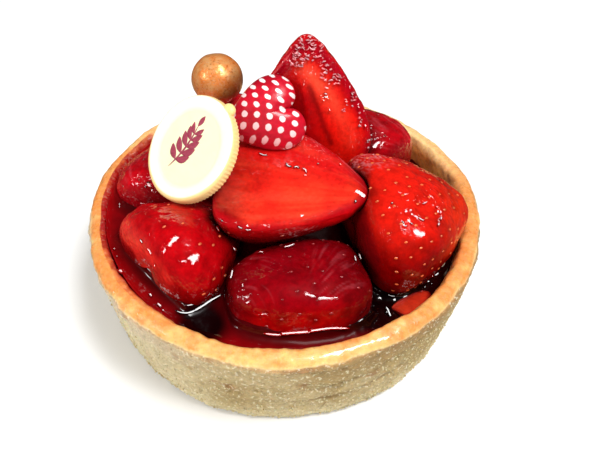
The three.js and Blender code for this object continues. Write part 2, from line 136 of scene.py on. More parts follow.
# Decorations, as in the solids
DISC_MIDDLE = (-18.4, -2.8, 39.5)
DISC_FACE = (-0.55, -0.44, 0.71)
DISC_RADIUS = 11.0
DISC_THICKNESS = 2.6
BORDER_WIDTH = 2.0
BORDER_HEIGHT = 0.3
DISC_BEVEL = 0.7
NIB_ANGLE = 1.33
NIB_RADII = (1.5, 1.3, 1.1)
HEART_MIDDLE = (-4.1, 4.4, 42.5)
HEART_POINTS = (-0.94, -0.14, -0.31)
HEART_FACE = (-0.04, -0.76, 0.65)
HEART_LENGTH = 18.6
HEART_WIDTH = 15.8
HEART_THICKNESS = 5.0
PEARL_MIDDLE = (-15.5, 25.1, 37.7)
PEARL_RADIUS = 5.85


# Arithmetic

def unit(vector):
    """The vector divided by its own length."""
    vector = np.asarray(vector, float)
    return vector / np.linalg.norm(vector, axis=-1, keepdims=True)


def eased(low, high, value):
    """0 at low and 1 at high, with the smooth step 3s^2 - 2s^3 between."""
    share = np.clip((value - low) / (high - low), 0, 1)
    return share * share * (3 - 2 * share)


def bell(value):
    """e^(-value^2)."""
    return np.exp(-(value**2))


def blended(first, second, share):
    """Each colour on its way from first to second by its own share."""
    return first + (np.asarray(second) - first) * np.asarray(share)[..., None]


def linear(red, green, blue):
    """Linear light of a colour given as sRGB numbers from 0 to 255."""
    share = np.array([red, green, blue]) / 255
    return np.where(share <= 0.04045, share / 12.92, ((share + 0.055) / 1.055) ** 2.4)


def layered(colour, *layers):
    """The colour under layers, each an sRGB colour and the share of it that covers what is below."""
    for tone, share in layers:
        colour = blended(colour, linear(*tone), share)
    return colour


def full_turn(count):
    """Even angles all the way round."""
    return np.linspace(0, 2 * np.pi, count, endpoint=False)


def round_axis(radius, angle, z):
    """Points at a radius from the z axis, an angle round it and a height."""
    return np.stack(np.broadcast_arrays(radius * np.cos(angle), radius * np.sin(angle), z), -1)


def angle_of(points):
    """The angle of points round the z axis."""
    return np.arctan2(points[..., 1], points[..., 0])


def noise(points, size, seed):
    """Smooth random values from -1 to 1: the corners of a repeating box of 32 by 32 by 32 cells hold random
    numbers, and each point takes the eased mean of its cell's eight corners. A cell is size across."""
    corners = np.random.default_rng(seed).uniform(-1, 1, (32, 32, 32))
    place = np.asarray(points) / size
    cell = np.floor(place).astype(int)
    part = place - cell
    part = part * part * (3 - 2 * part)
    value = 0
    for corner in np.ndindex(2, 2, 2):
        weight = np.prod(np.where(corner, part, 1 - part), axis=-1)
        x, y, z = np.moveaxis((cell + corner) % 32, -1, 0)
        value = value + weight * corners[x, y, z]
    return value


def rough_noise(points, size, seed, layers=3):
    """The sum of a few layers of noise, each half as large and half as strong as the one before."""
    return sum(noise(points, size / 2**i, seed + i) / 2**i for i in range(layers))


# Meshes

def closed_grid(rows, around, start=0):
    """Faces of a closed surface: rows of around points each, then one point that closes the first row and
    one that closes the last."""
    count = rows * around
    index = np.arange(count).reshape(rows, around) + start
    beside = np.roll(index, -1, axis=1)
    quads = np.stack([index[:-1], beside[:-1], beside[1:], index[1:]], -1).reshape(-1, 4)
    first = np.full(around, count + start)
    last = np.full(around, count + 1 + start)
    caps = [np.stack([first, beside[0], index[0]], -1), np.stack([last, index[-1], beside[-1]], -1)]
    return [quads, np.concatenate(caps)]


def with_poles(grid):
    """The points of a grid of rows as one list, and after them the mean of its first row and of its last."""
    points = grid.reshape(-1, grid.shape[-1])
    return np.concatenate([points, grid[0].mean(0)[None], grid[-1].mean(0)[None]])


def signed_volume(points, faces):
    """Six times the volume that the faces enclose, negative where they point inwards."""
    total = 0
    for part in faces:
        for i in range(1, part.shape[1] - 1):
            a, b, c = (points[part[:, k]] for k in (0, i, i + 1))
            total += np.einsum("ij,ij->", a, np.cross(b, c))
    return total


def make_piece(name, points, faces, material, values=None):
    """A smooth mesh object from points in millimetres and arrays of faces, turned to point outwards. values
    are the piece's own attributes, one number or one colour for each point."""
    if signed_volume(points, faces) < 0:
        faces = [part[:, ::-1] for part in faces]
    mesh = bpy.data.meshes.new(name)
    mesh.vertices.add(len(points))
    mesh.vertices.foreach_set("co", (points * MM).astype(np.float32).ravel())
    corners = np.concatenate([part.ravel() for part in faces]).astype(np.int32)
    sizes = np.concatenate([np.full(len(part), part.shape[1]) for part in faces])
    mesh.loops.add(len(corners))
    mesh.loops.foreach_set("vertex_index", corners)
    mesh.polygons.add(len(sizes))
    mesh.polygons.foreach_set("loop_start", (np.cumsum(sizes) - sizes).astype(np.int32))
    mesh.update(calc_edges=True)
    mesh.shade_smooth()
    for key, value in (values or {}).items():
        value = np.asarray(value, np.float32)
        if value.ndim == 1:
            mesh.attributes.new(key, "FLOAT", "POINT").data.foreach_set("value", value)
        else:
            full = np.concatenate([value, np.ones((len(value), 1), np.float32)], 1)
            mesh.attributes.new(key, "FLOAT_COLOR", "POINT").data.foreach_set("color", full.ravel())
    mesh.materials.append(material)
    piece = bpy.data.objects.new(name, mesh)
    bpy.context.scene.collection.objects.link(piece)
    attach(piece, "root")
    return piece


def grid_normals(grid):
    """Unit normals of a grid of rows that close round: the cross product of its steps along and around."""
    around = np.roll(grid, -1, 1) - np.roll(grid, 1, 1)
    along = np.gradient(grid, axis=0)
    return unit(np.cross(around, along) + 1e-12)


def joined(shape, quads_and_caps, frames, middles):
    """Copies of one small shape: each copy's points are the shape's, turned by its own frame, plus its
    middle. Returns the points and the faces of all of them together."""
    points = np.einsum("pi,nij->npj", shape, frames) + middles[:, None]
    shift = (np.arange(len(middles)) * len(shape))[:, None, None]
    faces = [(part[None] + shift).reshape(-1, part.shape[1]) for part in quads_and_caps]
    return points.reshape(-1, 3), faces


def ball_shape(rows, around):
    """A ball of radius 1 as rows between its poles."""
    lean = np.linspace(0, np.pi, rows + 2)[1:-1, None]
    ball = round_axis(np.sin(lean), full_turn(around), np.cos(lean))
    return np.concatenate([ball.reshape(-1, 3), [[0, 0, 1], [0, 0, -1]]]), closed_grid(rows, around)


# The camera and the lights, which the glaze's highlights are set by

CAMERA_PLACE = np.array([0.0, -112.5, 126.9])
CAMERA_YAW, CAMERA_PITCH, CAMERA_ROLL = np.radians([1.74, 44.67, 1.30])
CAMERA_LENS = 42.0
CAMERA_FILM = 36.0
PHOTO_SIZE = np.array([600, 450])
# Towards the key and the left light, their distance and the height that they aim at, in metres
KEY_WAY = np.array([0.344, -0.2, 0.917])
LEFT_WAY = np.array([-0.77, -0.33, 0.52])
LIGHT_DISTANCE = 0.6
LIGHTS_AIM = 0.03


def camera_axes():
    """The camera's directions to its right, up and ahead, from its yaw, its pitch down and its roll."""
    cy, sy = np.cos(CAMERA_YAW), np.sin(CAMERA_YAW)
    cp, sp = np.cos(CAMERA_PITCH), np.sin(CAMERA_PITCH)
    cr, sr = np.cos(CAMERA_ROLL), np.sin(CAMERA_ROLL)
    ahead = np.array([sy * cp, cy * cp, -sp])
    level = np.array([cy, -sy, 0.0])
    upright = np.cross(level, ahead)
    return cr * level + sr * upright, -sr * level + cr * upright, ahead


def in_photo(points):
    """Where points show in the photograph: pixels across, pixels down, and distance ahead of the camera."""
    right, up, ahead = camera_axes()
    away = points - CAMERA_PLACE
    far = away @ ahead
    scale = PHOTO_SIZE[0] * CAMERA_LENS / CAMERA_FILM / far
    return PHOTO_SIZE[0] / 2 + scale * (away @ right), PHOTO_SIZE[1] / 2 - scale * (away @ up), far


def from_photo(across, down, far):
    """The points that show at pixels of the photograph, at distances ahead of the camera."""
    right, up, ahead = camera_axes()
    step = CAMERA_FILM / CAMERA_LENS / PHOTO_SIZE[0]
    sideways = (across - PHOTO_SIZE[0] / 2) * step
    upwards = (PHOTO_SIZE[1] / 2 - down) * step
    return CAMERA_PLACE + far[..., None] * (ahead + sideways[..., None] * right + upwards[..., None] * up)


def shining_way(point, light_way=KEY_WAY):
    """Where glaze at a point faces to mirror a light into the camera: halfway between the two."""
    light = unit(light_way) * LIGHT_DISTANCE / MM + [0, 0, LIGHTS_AIM / MM]
    return unit(unit(light - point) + unit(CAMERA_PLACE - point))


# Materials

def set_sockets(tree, node, values):
    """Each of a node's sockets is set to a value, or linked to another node's socket, or to an attribute of
    the piece, whose name stands for it."""
    for key, value in values.items():
        if isinstance(value, str):
            value = read_number(tree, value)
        if isinstance(value, bpy.types.NodeSocket):
            tree.links.new(value, node.inputs[key])
        else:
            node.inputs[key].default_value = value


def add_node(tree, kind, values=None, **settings):
    """A shader node with its own settings and its sockets."""
    made = tree.nodes.new("ShaderNode" + kind)
    for key, value in settings.items():
        setattr(made, key, value)
    set_sockets(tree, made, values or {})
    return made


def new_material(name):
    """A material, its tree, its shader, and the place on the piece in metres."""
    material = bpy.data.materials.new(name)
    material.use_nodes = True
    tree = material.node_tree
    place = add_node(tree, "TexCoord").outputs["Object"]
    return material, tree, tree.nodes["Principled BSDF"], place


def grain(tree, place, size, detail=2.0, roughness=0.5):
    """Noise whose largest spots are about size millimetres across."""
    values = {"Vector": place, "Scale": 1 / (size * MM), "Detail": detail, "Roughness": roughness}
    return add_node(tree, "TexNoise", values).outputs[0]


def read_colour(tree, key="colour"):
    """The piece's own attribute as a colour."""
    return add_node(tree, "Attribute", attribute_name=key).outputs["Color"]


def read_number(tree, key):
    """The piece's own attribute as a number."""
    return add_node(tree, "Attribute", attribute_name=key).outputs["Fac"]


def spread(tree, value, low, high, new_low, new_high):
    """The value moved from one range to another, and held inside it."""
    return add_node(tree, "MapRange", {0: value, 1: low, 2: high, 3: new_low, 4: new_high}).outputs[0]


def maths(tree, operation, first, second):
    """A sum, a product and the like of two numbers."""
    return add_node(tree, "Math", {0: first, 1: second}, operation=operation).outputs[0]


def times(tree, first, second):
    """The product of two numbers."""
    return maths(tree, "MULTIPLY", first, second)


def mixed(tree, share, first, second, way="MIX"):
    """Two colours mixed by a share."""
    values = {0: share, 6: first, 7: second}
    return add_node(tree, "Mix", values, data_type="RGBA", blend_type=way).outputs[2]


def raised(tree, height, distance):
    """Relief of distance millimetres from a height between 0 and 1."""
    return add_node(tree, "Bump", {"Height": height, "Distance": distance * MM}).outputs[0]


def shaded(tree, colour, place, size, amount):
    """The colour made lighter and darker by amount in spots of a size."""
    value = spread(tree, grain(tree, place, size, 3.0), 0.3, 0.7, 1 - amount, 1 + amount)
    grey = add_node(tree, "CombineColor", {0: value, 1: value, 2: value}).outputs[0]
    return mixed(tree, 1.0, colour, grey, "MULTIPLY")


def folds(tree, place, size, width):
    """Thin folds in a liquid's skin, 1 along their crests and 0 between: they follow the lines on which
    noise of a size passes its middle value."""
    value = maths(tree, "ABSOLUTE", maths(tree, "SUBTRACT", grain(tree, place, size, 1.5), 0.5), 0.0)
    return spread(tree, value, 0.0, width, 1.0, 0.0)


def glazed_fruit(name, flesh):
    """Fruit under a clear wet glaze. The glaze lies in its own waves over the fruit, it is wrinkled where the
    piece's wrinkle attribute says, and thin and dull where its wetness is low. Flesh lets more light in than
    skin."""
    material, tree, shader, place = new_material(name)
    small = times(tree, grain(tree, place, 0.9, 1.5), 0.9)
    crests = times(tree, maths(tree, "ADD", folds(tree, place, 1.7, 0.16), small), "wrinkle")
    ripples = times(tree, grain(tree, place, 1.3, 1.0), 0.1)
    waves = maths(tree, "ADD", grain(tree, place, 5.0, 1.0), ripples)
    set_sockets(tree, shader, {
        "Base Color": shaded(tree, read_colour(tree), place, 0.8, 0.16),
        "Roughness": 0.5, "Specular IOR Level": 0.03, "Subsurface Weight": 0.25 if flesh else 0.1,
        "Subsurface Radius": (1.0, 0.2, 0.1), "Subsurface Scale": 1.4 * MM if flesh else 0.9 * MM,
        "Normal": raised(tree, grain(tree, place, 0.8), 0.05),
        "Coat Weight": "wetness", "Coat Roughness": 0.02, "Coat IOR": 1.55,
        "Coat Normal": raised(tree, maths(tree, "ADD", crests, waves), 0.2),
    })
    return material


def seed_finish():
    """Seeds under the glaze."""
    material, tree, shader, place = new_material("seed_husk")
    set_sockets(tree, shader, {
        "Base Color": shaded(tree, read_colour(tree), place, 0.3, 0.15),
        "Roughness": 0.4, "Specular IOR Level": 0.3, "Coat Weight": 1.0, "Coat Roughness": 0.05,
    })
    return material


def crust_finish():
    """Sandy baked shortcrust: its colours come from the piece, with pale flour specks, brown grains and a
    rough sandy relief. The glaze attribute makes the rim smooth and shiny, with a broken shine, and glint
    says where syrup has run over it."""
    material, tree, shader, place = new_material("baked_shortcrust")
    bare = spread(tree, "glaze", 0.0, 1.0, 1.0, 0.16)
    colour = shaded(tree, read_colour(tree), place, 1.0, 0.13)
    specks = spread(tree, grain(tree, place, 0.62), 0.57, 0.68, 0.0, 0.75)
    colour = mixed(tree, times(tree, specks, bare), colour, (0.87, 0.79, 0.54, 1))
    grains = spread(tree, grain(tree, place, 0.5, 3.0, 0.6), 0.42, 0.3, 0.0, 0.62)
    colour = mixed(tree, times(tree, grains, bare), colour, (0.27, 0.18, 0.075, 1))
    broken = spread(tree, grain(tree, place, 1.1, 3.0, 0.65), 0.4, 0.6, 0.55, 0.12)
    sand = times(tree, grain(tree, place, 0.6, 4.0, 0.65), bare)
    set_sockets(tree, shader, {
        "Base Color": colour, "Specular IOR Level": 0.5,
        "Roughness": add_node(tree, "Mix", {0: "glaze", 2: 0.92, 3: broken}).outputs[0],
        "Normal": raised(tree, sand, 0.6),
        "Subsurface Weight": 0.25, "Subsurface Radius": (1.0, 0.5, 0.2), "Subsurface Scale": 1.8 * MM,
        "Coat Weight": "glint", "Coat Roughness": 0.06,
    })
    return material


def smooth_finish(name, values, size, amount, relief):
    """A smooth soft or moulded material with faint clouds and a faint relief."""
    material, tree, shader, place = new_material(name)
    set_sockets(tree, shader, {
        **values, "Base Color": shaded(tree, read_colour(tree), place, size, amount),
        "Normal": raised(tree, grain(tree, place, size, 3.0), relief),
    })
    return material


def jelly_finish(name):
    """Clear set glaze over a deep colour, dull where its wetness is low."""
    values = {"Roughness": 0.3, "Specular IOR Level": 0.05, "Coat Weight": "wetness",
              "Coat Roughness": 0.015, "Coat IOR": 1.55}
    return smooth_finish(name, values, 3.0, 0.15, 0.04)


def spotted_finish():
    """Crimson chocolate with a printed grid of white spots. The print attribute holds the place in the grid,
    counted in cells, and a round spot lies in the middle of each cell."""
    material, tree, shader, place = new_material("spotted_chocolate")
    away = read_colour(tree, "print")
    steps = ("FRACTION", (0, 0, 0)), ("SUBTRACT", (0.5, 0.5, 0)), ("MULTIPLY", (*SPOT_CELL, 0))
    for operation, other in steps:
        away = add_node(tree, "VectorMath", {0: away, 1: other}, operation=operation).outputs[0]
    reach = add_node(tree, "VectorMath", {0: away}, operation="LENGTH").outputs["Value"]
    ragged = maths(tree, "ADD", reach, spread(tree, grain(tree, place, 0.7), 0.3, 0.7, -0.07, 0.07))
    spot = spread(tree, ragged, SPOT_RADIUS + 0.06, SPOT_RADIUS - 0.06, 0.0, 1.0)
    red = shaded(tree, read_colour(tree), place, 0.9, 0.16)
    # Painted light: the tone attribute turns the spots from pink where shaded to white where lit.
    white = mixed(tree, "tone", (0.86, 0.36, 0.36, 1), (0.93, 0.86, 0.84, 1))
    set_sockets(tree, shader, {
        "Base Color": mixed(tree, spot, red, white), "Roughness": 0.35, "Specular IOR Level": 0.4,
        "Normal": raised(tree, grain(tree, place, 1.2, 3.0), 0.1),
        "Subsurface Weight": 0.08, "Subsurface Radius": (1.0, 0.3, 0.2), "Subsurface Scale": 0.8 * MM,
        "Coat Weight": 0.3, "Coat Roughness": 0.15,
    })
    return material


def bronze_finish():
    """Bronze lustre dust over chocolate: copper and gold grains in a fine dented skin."""
    material, tree, shader, place = new_material("bronze_lustre")
    clouds = spread(tree, grain(tree, place, 2.2, 3.0, 0.6), 0.35, 0.65, 0.0, 1.0)
    dust = spread(tree, grain(tree, place, 0.4), 0.54, 0.66, 0.0, 0.45)
    dark = spread(tree, grain(tree, place, 0.55), 0.42, 0.28, 0.0, 0.5)
    colour = mixed(tree, clouds, (1.0, 0.25, 0.03, 1), (1.0, 0.46, 0.15, 1))
    colour = mixed(tree, dust, colour, (1.0, 0.62, 0.36, 1))
    colour = mixed(tree, dark, colour, (0.3, 0.08, 0.02, 1))
    dents = maths(tree, "ADD", grain(tree, place, 0.9, 3.0), times(tree, dust, -0.25))
    set_sockets(tree, shader, {
        # Painted shade and a painted reflection of the dark fruit darken the lower right, by the shade
        # attribute.
        "Base Color": mixed(tree, "shade", colour, (0.16, 0.025, 0.004, 1)),
        "Metallic": 0.42, "Specular IOR Level": 0.6, "Roughness": spread(tree, dust, 0.0, 1.0, 0.36, 0.26),
        "Normal": raised(tree, dents, 0.07), "Coat Weight": 0.5, "Coat Roughness": 0.2,
    })
    return material


def floor_finish():
    """A plain pale floor with faint clouds, which shows only dimly in the glaze."""
    material, tree, shader, place = new_material("pale_floor")
    pale = shaded(tree, (0.93, 0.93, 0.93, 1), place, 40.0, 0.01)
    glossy = add_node(tree, "LightPath").outputs["Is Glossy Ray"]
    colour = mixed(tree, glossy, pale, (0.03, 0.025, 0.025, 1))
    set_sockets(tree, shader, {"Base Color": colour, "Roughness": 0.9, "Specular IOR Level": 0.1})
    return material


# Strawberries

def berry_axes(berry):
    """The berry's own axes as rows: across it, towards its cut or upper side, and along it to its tip."""
    along = unit(berry["tip"])
    across = unit(np.cross(berry["top"], along))
    return np.array([across, np.cross(along, across), along])


def to_berry(berry, points):
    """Points in the berry's own axes."""
    return (points - np.array(berry["middle"])) @ berry_axes(berry).T


def from_berry(berry, local):
    """Points of the berry's own axes, in the tartlet's."""
    return local @ berry_axes(berry) + np.array(berry["middle"])


def berry_profile(berry, turn):
    """Half width as a share of the widest: sin(turn)^blunt times (1 + taper cos(turn)), at turn 0 at the
    cap and pi at the tip."""
    def shape(t):
        return np.abs(np.sin(t)) ** berry["blunt"] * (1 + berry["taper"] * np.cos(t))

    return shape(turn) / shape(np.arange(1, 60) * np.pi / 60).max()


def berry_lobes(berry, turn, angle):
    """What the section's half width is multiplied by round the berry: low lobes, two slow waves and three
    quicker ones that are strongest at its middle, and the squareness of the section."""
    slow = 0.035 * np.sin(2 * angle + berry["phase"] + turn)
    quick = 0.02 * np.sin(3 * angle - 2 * berry["phase"] + 2 * turn)
    power = berry.get("box", 2.0)
    square = (np.abs(np.cos(angle)) ** power + np.abs(np.sin(angle)) ** power) ** (-1 / power)
    return (1 + (slow + quick) * np.sin(turn)) * square


def skin_points(berry, turn, angle):
    """Points of the skin in the berry's own axes: an oval section that the profile and lobes scale, at
    minus half the length times cos(turn) along it."""
    share = berry_profile(berry, turn) * berry_lobes(berry, turn, angle)
    across = berry["width"] / 2 * share * np.cos(angle)
    up = berry["depth"] / 2 * share * np.sin(angle)
    along = -berry["length"] / 2 * np.cos(turn) + 0 * angle
    return np.stack([across, up, along], -1)


def clearance(berry, points):
    """About how far each point stands off the fruit's skin, and less than nothing inside it: the greatest of
    its distance from the oval section, from the cap's plane and from the cut."""
    across, up, along = np.moveaxis(to_berry(berry, points), -1, 0)
    half = berry["length"] / 2
    turn = np.arccos(np.clip(-along / half, -1, 1))
    x, y = across / (berry["width"] / 2), up / (berry["depth"] / 2)
    share = berry_profile(berry, turn) * berry_lobes(berry, turn, np.arctan2(y, x))
    body = (np.hypot(x, y) - share) * (berry["width"] + berry["depth"]) / 4
    past = np.maximum(np.abs(along) - half, 0)
    body = np.where(past > 0, np.hypot(np.maximum(body, 0), past), body)
    return np.maximum(body, np.maximum(berry["hull"] - half - along, up - berry.get("cut", UNCUT)))


def gap_to_others(name, points):
    """About how far each point is from the nearest other fruit."""
    return np.min([clearance(other, points) for key, other in BERRIES.items() if key != name], axis=0)


def crevice_shade(name, points):
    """How close the other fruits are to each point, which sets the painted shade between fruits: 1 where one
    touches it, falling off with the distance d as e^(-d / CREVICE_SHADE_REACH)."""
    return np.exp(-np.maximum(gap_to_others(name, points), 0) / CREVICE_SHADE_REACH)


def pressed(points, middle, others, gap):
    """Each point that lies inside another fruit, or within the gap of it, slides towards the middle until it
    is out: the place on the way is found by halving. Returns the points and which of them moved."""
    points = points.copy()
    moved = np.zeros(len(points), bool)
    for other in others:
        inside = clearance(other, points) < gap
        start = points[inside]
        step = np.array(middle) - start
        near, far = np.zeros(len(start)), np.ones(len(start))
        for _ in range(18):
            half = (near + far) / 2
            still = clearance(other, start + step * half[:, None]) < gap
            near, far = np.where(still, half, near), np.where(still, far, half)
        points[inside] = start + step * far[:, None]
        moved |= inside
    return points, moved


def jelly_top(x):
    """Height of the jelly, which stands lower on the right."""
    return JELLY_LEVEL - JELLY_FALL * x


def inner_radius(z):
    """Radius of the shell's inner wall at a height: it widens quickly above the floor, then slowly."""
    share = np.clip((z - FLOOR_THICKNESS) / (SHELL_HEIGHT - FLOOR_THICKNESS), 0, 1)
    return INNER_FLOOR_RADIUS + (RIM_RADIUS - RIM_WIDTH - INNER_FLOOR_RADIUS) * share**0.6


# How much farther out fruit may reach where the rim is rounded, between which heights that slack grows, and
# how far above the rim the fruit is free
RIM_SLACK = 0.9
SLACK_HEIGHTS = (22.2, 23.4)
FREE_ABOVE_RIM = 0.35


def within_shell(points):
    """Points below the top of the rim are drawn in to the inner wall, less the gap. Returns the points and
    which of them moved."""
    radius = np.hypot(points[:, 0], points[:, 1])
    limit = inner_radius(points[:, 2]) - GAP + RIM_SLACK * eased(*SLACK_HEIGHTS, points[:, 2])
    over = (radius > limit) & (points[:, 2] < SHELL_HEIGHT + FREE_ABOVE_RIM)
    share = np.where(over, limit / np.maximum(radius, 1e-6), 1)
    return points * np.stack([share, share, np.ones_like(share)], -1), over


def seed_places(berry, seed):
    """Turns and angles of the seeds: rows at even steps along the berry, each shifted by half a seed, with
    a little disorder."""
    random = np.random.default_rng(seed)
    rows = round(berry["length"] / (berry["spacing"] * 0.8))
    turns, angles = [], []
    for i in range(1, rows):
        turn = np.arccos(1 - 2 * i / rows)
        girth = np.pi * berry_profile(berry, turn) * (berry["width"] + berry["depth"]) / 2
        count = max(3, round(girth / berry["spacing"]))
        steps = np.arange(count) + (i % 2) / 2 + random.uniform(-0.16, 0.16, count)
        angles.append(2 * np.pi * steps / count + berry["phase"])
        turns.append(turn + random.uniform(-0.03, 0.03, count))
    return np.concatenate(turns), np.concatenate(angles)


def nearest(points, places):
    """Distance from each point to the nearest place, and each place's nearest point."""
    square = (points**2).sum(1)[:, None] + (places**2).sum(1)[None] - 2 * points @ places.T
    return np.sqrt(np.maximum(square, 0).min(1)), square.argmin(0)


def soft_below(value, limit, reach):
    """The value held below a limit, with a rounded turn of about reach."""
    return (value + limit - np.sqrt((value - limit) ** 2 + reach**2)) / 2


# Flat strokes in the glaze that catch a light, each as its two ends and half width in pixels
SHINES = {
    "strawberry_front": [
        (306.5, 294.6, 318, 297, 1.7), (319, 297, 330, 298.6, 1.9), (331, 298.6, 339.5, 297.6, 1.6),
        (254.5, 313.6, 260, 315.4, 1.4), (260.5, 315, 266.5, 313, 1.4), (245.5, 324, 253.5, 327.4, 1.3),
    ],
    "strawberry_front_left": [
        (161.5, 254, 168, 245.5, 2.5), (168, 245, 175, 239, 3.1), (176, 240, 178.5, 238, 2.0),
        (181, 262, 189, 259, 1.8), (189, 259, 197.5, 255.6, 2.2), (193, 263.5, 196.5, 257, 2.5),
        (186.2, 245.8, 187.2, 245.4, 1.5), (175, 252.5, 176, 252.2, 1.2),
    ],
    "strawberry_half_lying": [(356.5, 191.5, 364, 195.8, 1.9), (301.8, 215.6, 303, 216, 1.3)],
    "strawberry_back_right": [
        (374, 148, 380, 141, 2.2), (380, 146, 383, 142, 1.3), (375, 138.5, 380, 138, 1.0),
    ],
    "strawberry_left": [
        (147.5, 183.6, 151.5, 188, 1.6), (151, 190, 157, 192, 1.5), (140, 203, 148, 205.4, 1.4),
    ],
    "strawberry_right": [
        (431.5, 205.6, 437, 208.6, 1.4), (437.6, 209.4, 440.4, 215, 1.8), (440.2, 216.5, 438, 222.5, 2.0),
        (437.4, 224, 434, 227.2, 1.5), (406, 211.5, 413, 210.6, 2.2), (411, 214.5, 416.5, 215, 1.7),
        (416.5, 217.5, 423, 222, 1.5), (414.5, 231.8, 425, 235.4, 2.0), (402.5, 222, 405.5, 226.5, 1.0),
        (408, 219, 411, 224, 1.0), (424, 204, 427.6, 202.2, 1.1), (417, 196, 418, 195.6, 1.1),
    ],
    "strawberry_half_standing": [
        (322.5, 99, 328, 95.5, 1.7), (323.5, 95.6, 329.5, 99.6, 1.5), (345.5, 102.4, 347.2, 100.6, 1.4),
    ],
}
# How far a stroke may press the surface in or out
SHINE_DEPTH = 0.8


def near_side(points, middle):
    """Which points lie on the camera's side of a fruit's middle."""
    return (points - middle) @ (CAMERA_PLACE - middle) > 0


def with_shines(name, middle, points):
    """The glaze's flat strokes, with a ragged edge. Inside one the surface slides, along the direction that
    mirrors a light, onto the plane through the stroke's middle that faces that way. The light is the left
    one for the left strawberry and the key for the others. Returns the points, and how far each is inside a
    stroke."""
    inside = np.zeros(len(points))
    across, down, _ = in_photo(points)
    near = near_side(points, middle)
    ragged = 0.8 * rough_noise(points, 0.8, 63, 2)
    light_way = LEFT_WAY if name == "strawberry_left" else KEY_WAY
    for left, top, right, bottom, half_width in SHINES.get(name, []):
        start, run = np.array([left, top]), np.array([right - left, bottom - top])
        off = np.stack([across, down], -1) - start
        share = np.clip(off @ run / (run @ run), 0, 1)
        gap = np.hypot(*(off - share[:, None] * run).T)
        part = eased(1.0, -0.4, gap - half_width + ragged) * near
        to_middle = np.hypot(*(off - run / 2).T)
        middle_point = points[np.argmin(np.where(near, to_middle, np.inf))]
        way = shining_way(middle_point, light_way)
        slide = np.clip((middle_point - points) @ way, -SHINE_DEPTH, SHINE_DEPTH)
        points = points + (part * slide)[:, None] * way
        inside = np.maximum(inside, part)
    return points, inside


def cut_height(berry, number, x, z, side):
    """Height of the cut face: it rises a little to its middle line. Where the berry has a hollow, that is an
    oval bowl to one side, and a low ridge runs along the middle."""
    level = berry["cut"] + 0.12 * rough_noise(np.stack([x, x * 0, z * 0.25], -1), 2.2, 300 + number, 2)
    if "hollow" not in berry:
        return level + 0.35 * np.clip(1 - side**2, 0, 1)
    bowl_x = (x - 0.22 * berry["width"]) / (0.2 * berry["width"])
    bowl_z = z / (0.36 * berry["length"])
    level = level - berry["hollow"] * np.clip(1 - bowl_x**2 - bowl_z**2, 0, 1)
    return level + 0.5 * bell((x + 1.0) / 3.4) * eased(-12, 2, z)


def open_seeds(name, number, points, at):
    """Of the seeds at some of the points, a share of those that stand clear of the jelly and other fruit."""
    place = points[at]
    free = (place[:, 2] > jelly_top(place[:, 0]) + 0.5) & (gap_to_others(name, place) > 0.6)
    return at[free & (np.random.default_rng(20 + number).random(len(at)) < BERRIES[name]["kept"])]


def shape_berry(name, number):
    """One strawberry: the skin displaced by lumps and by a pit at each seed, its cap and its cut face
    flattened, and pressed flat where it meets the shell or a fruit laid before it. Returns its points, what
    its colours need, and its seeds' places and axes."""
    berry = BERRIES[name]
    rows, around = berry["grid"]
    turn = np.linspace(0, np.pi, rows + 2)[1:-1, None]
    angle = full_turn(around)
    grid = skin_points(berry, turn, angle)
    normals = grid_normals(grid)
    normals = (normals * np.sign((normals * grid).sum())).reshape(-1, 3)
    skin = grid.reshape(-1, 3)
    reach, seed_at = nearest(skin, skin_points(berry, *seed_places(berry, 50 + number)))
    cap = berry["hull"] - berry["length"] / 2
    cut = berry.get("cut", UNCUT)
    past_cap = skin[:, 2] - cap
    on_skin = eased(0.2, 1.4, past_cap) * eased(0.1, 1.0, cut - skin[:, 1])
    pit = bell(reach / PIT_REACH) * on_skin
    lumps = berry["lump"] * rough_noise(skin + 40 * number, 6.0, 7 * number)
    height = lumps * (0.3 + 0.7 * on_skin) - berry["pit"] * pit
    x, y, z = (skin + normals * height[:, None]).T
    dimple = bell(np.hypot(skin[:, 0], skin[:, 1]) / DIMPLE_RADIUS) * eased(1.0, -0.6, past_cap)
    z = -soft_below(-z, CAP_REACH * berry["cap_round"] - cap, berry["cap_round"]) + DIMPLE_DEPTH * dimple
    girth = berry_profile(berry, np.arccos(np.clip(-2 * skin[:, 2] / berry["length"], -1, 1)))
    half_width = girth * berry["width"] / 2
    side = skin[:, 0] / np.maximum(half_width, 0.5)
    facts = dict(skin=skin, pit=pit, cap=eased(0.9, -0.4, past_cap), side=side, half_width=half_width,
                 angle=np.broadcast_to(angle, (rows, around)).ravel())
    if "cut" in berry:
        edge = berry["cut_round"]
        y = soft_below(y, cut_height(berry, number, x, z, side), edge)
        out = np.hypot(skin[:, 0] / (berry["width"] / 2), cut / (berry["depth"] / 2))
        facts["margin"] = (1 - out / np.maximum(girth, 1e-3)) * half_width
        facts["face"] = eased(-0.55 * edge, 0.45 * edge, skin[:, 1] - cut)
    points = from_berry(berry, with_poles(np.stack([x, y, z], -1).reshape(rows, around, 3)))
    laid = [BERRIES[key] for key in list(BERRIES)[:number]]
    points, touched = pressed(points, berry["middle"], laid, GAP * 0.8)
    points, walled = within_shell(points)
    points, shine = with_shines(name, np.array(berry["middle"]), points)
    facts["shine"] = shine[:-2]
    whole = (on_skin[seed_at] > 0.6) & ~(touched | walled)[seed_at]
    at = open_seeds(name, number, points, seed_at[whole])
    axes = berry_axes(berry)
    out = (normals @ axes)[at]
    along = unit(((np.roll(grid, -1, 0).reshape(-1, 3) - skin) @ axes)[at])
    frames = np.stack([along, unit(np.cross(out, along)), out], 1)
    return points, facts, (points[at], frames)


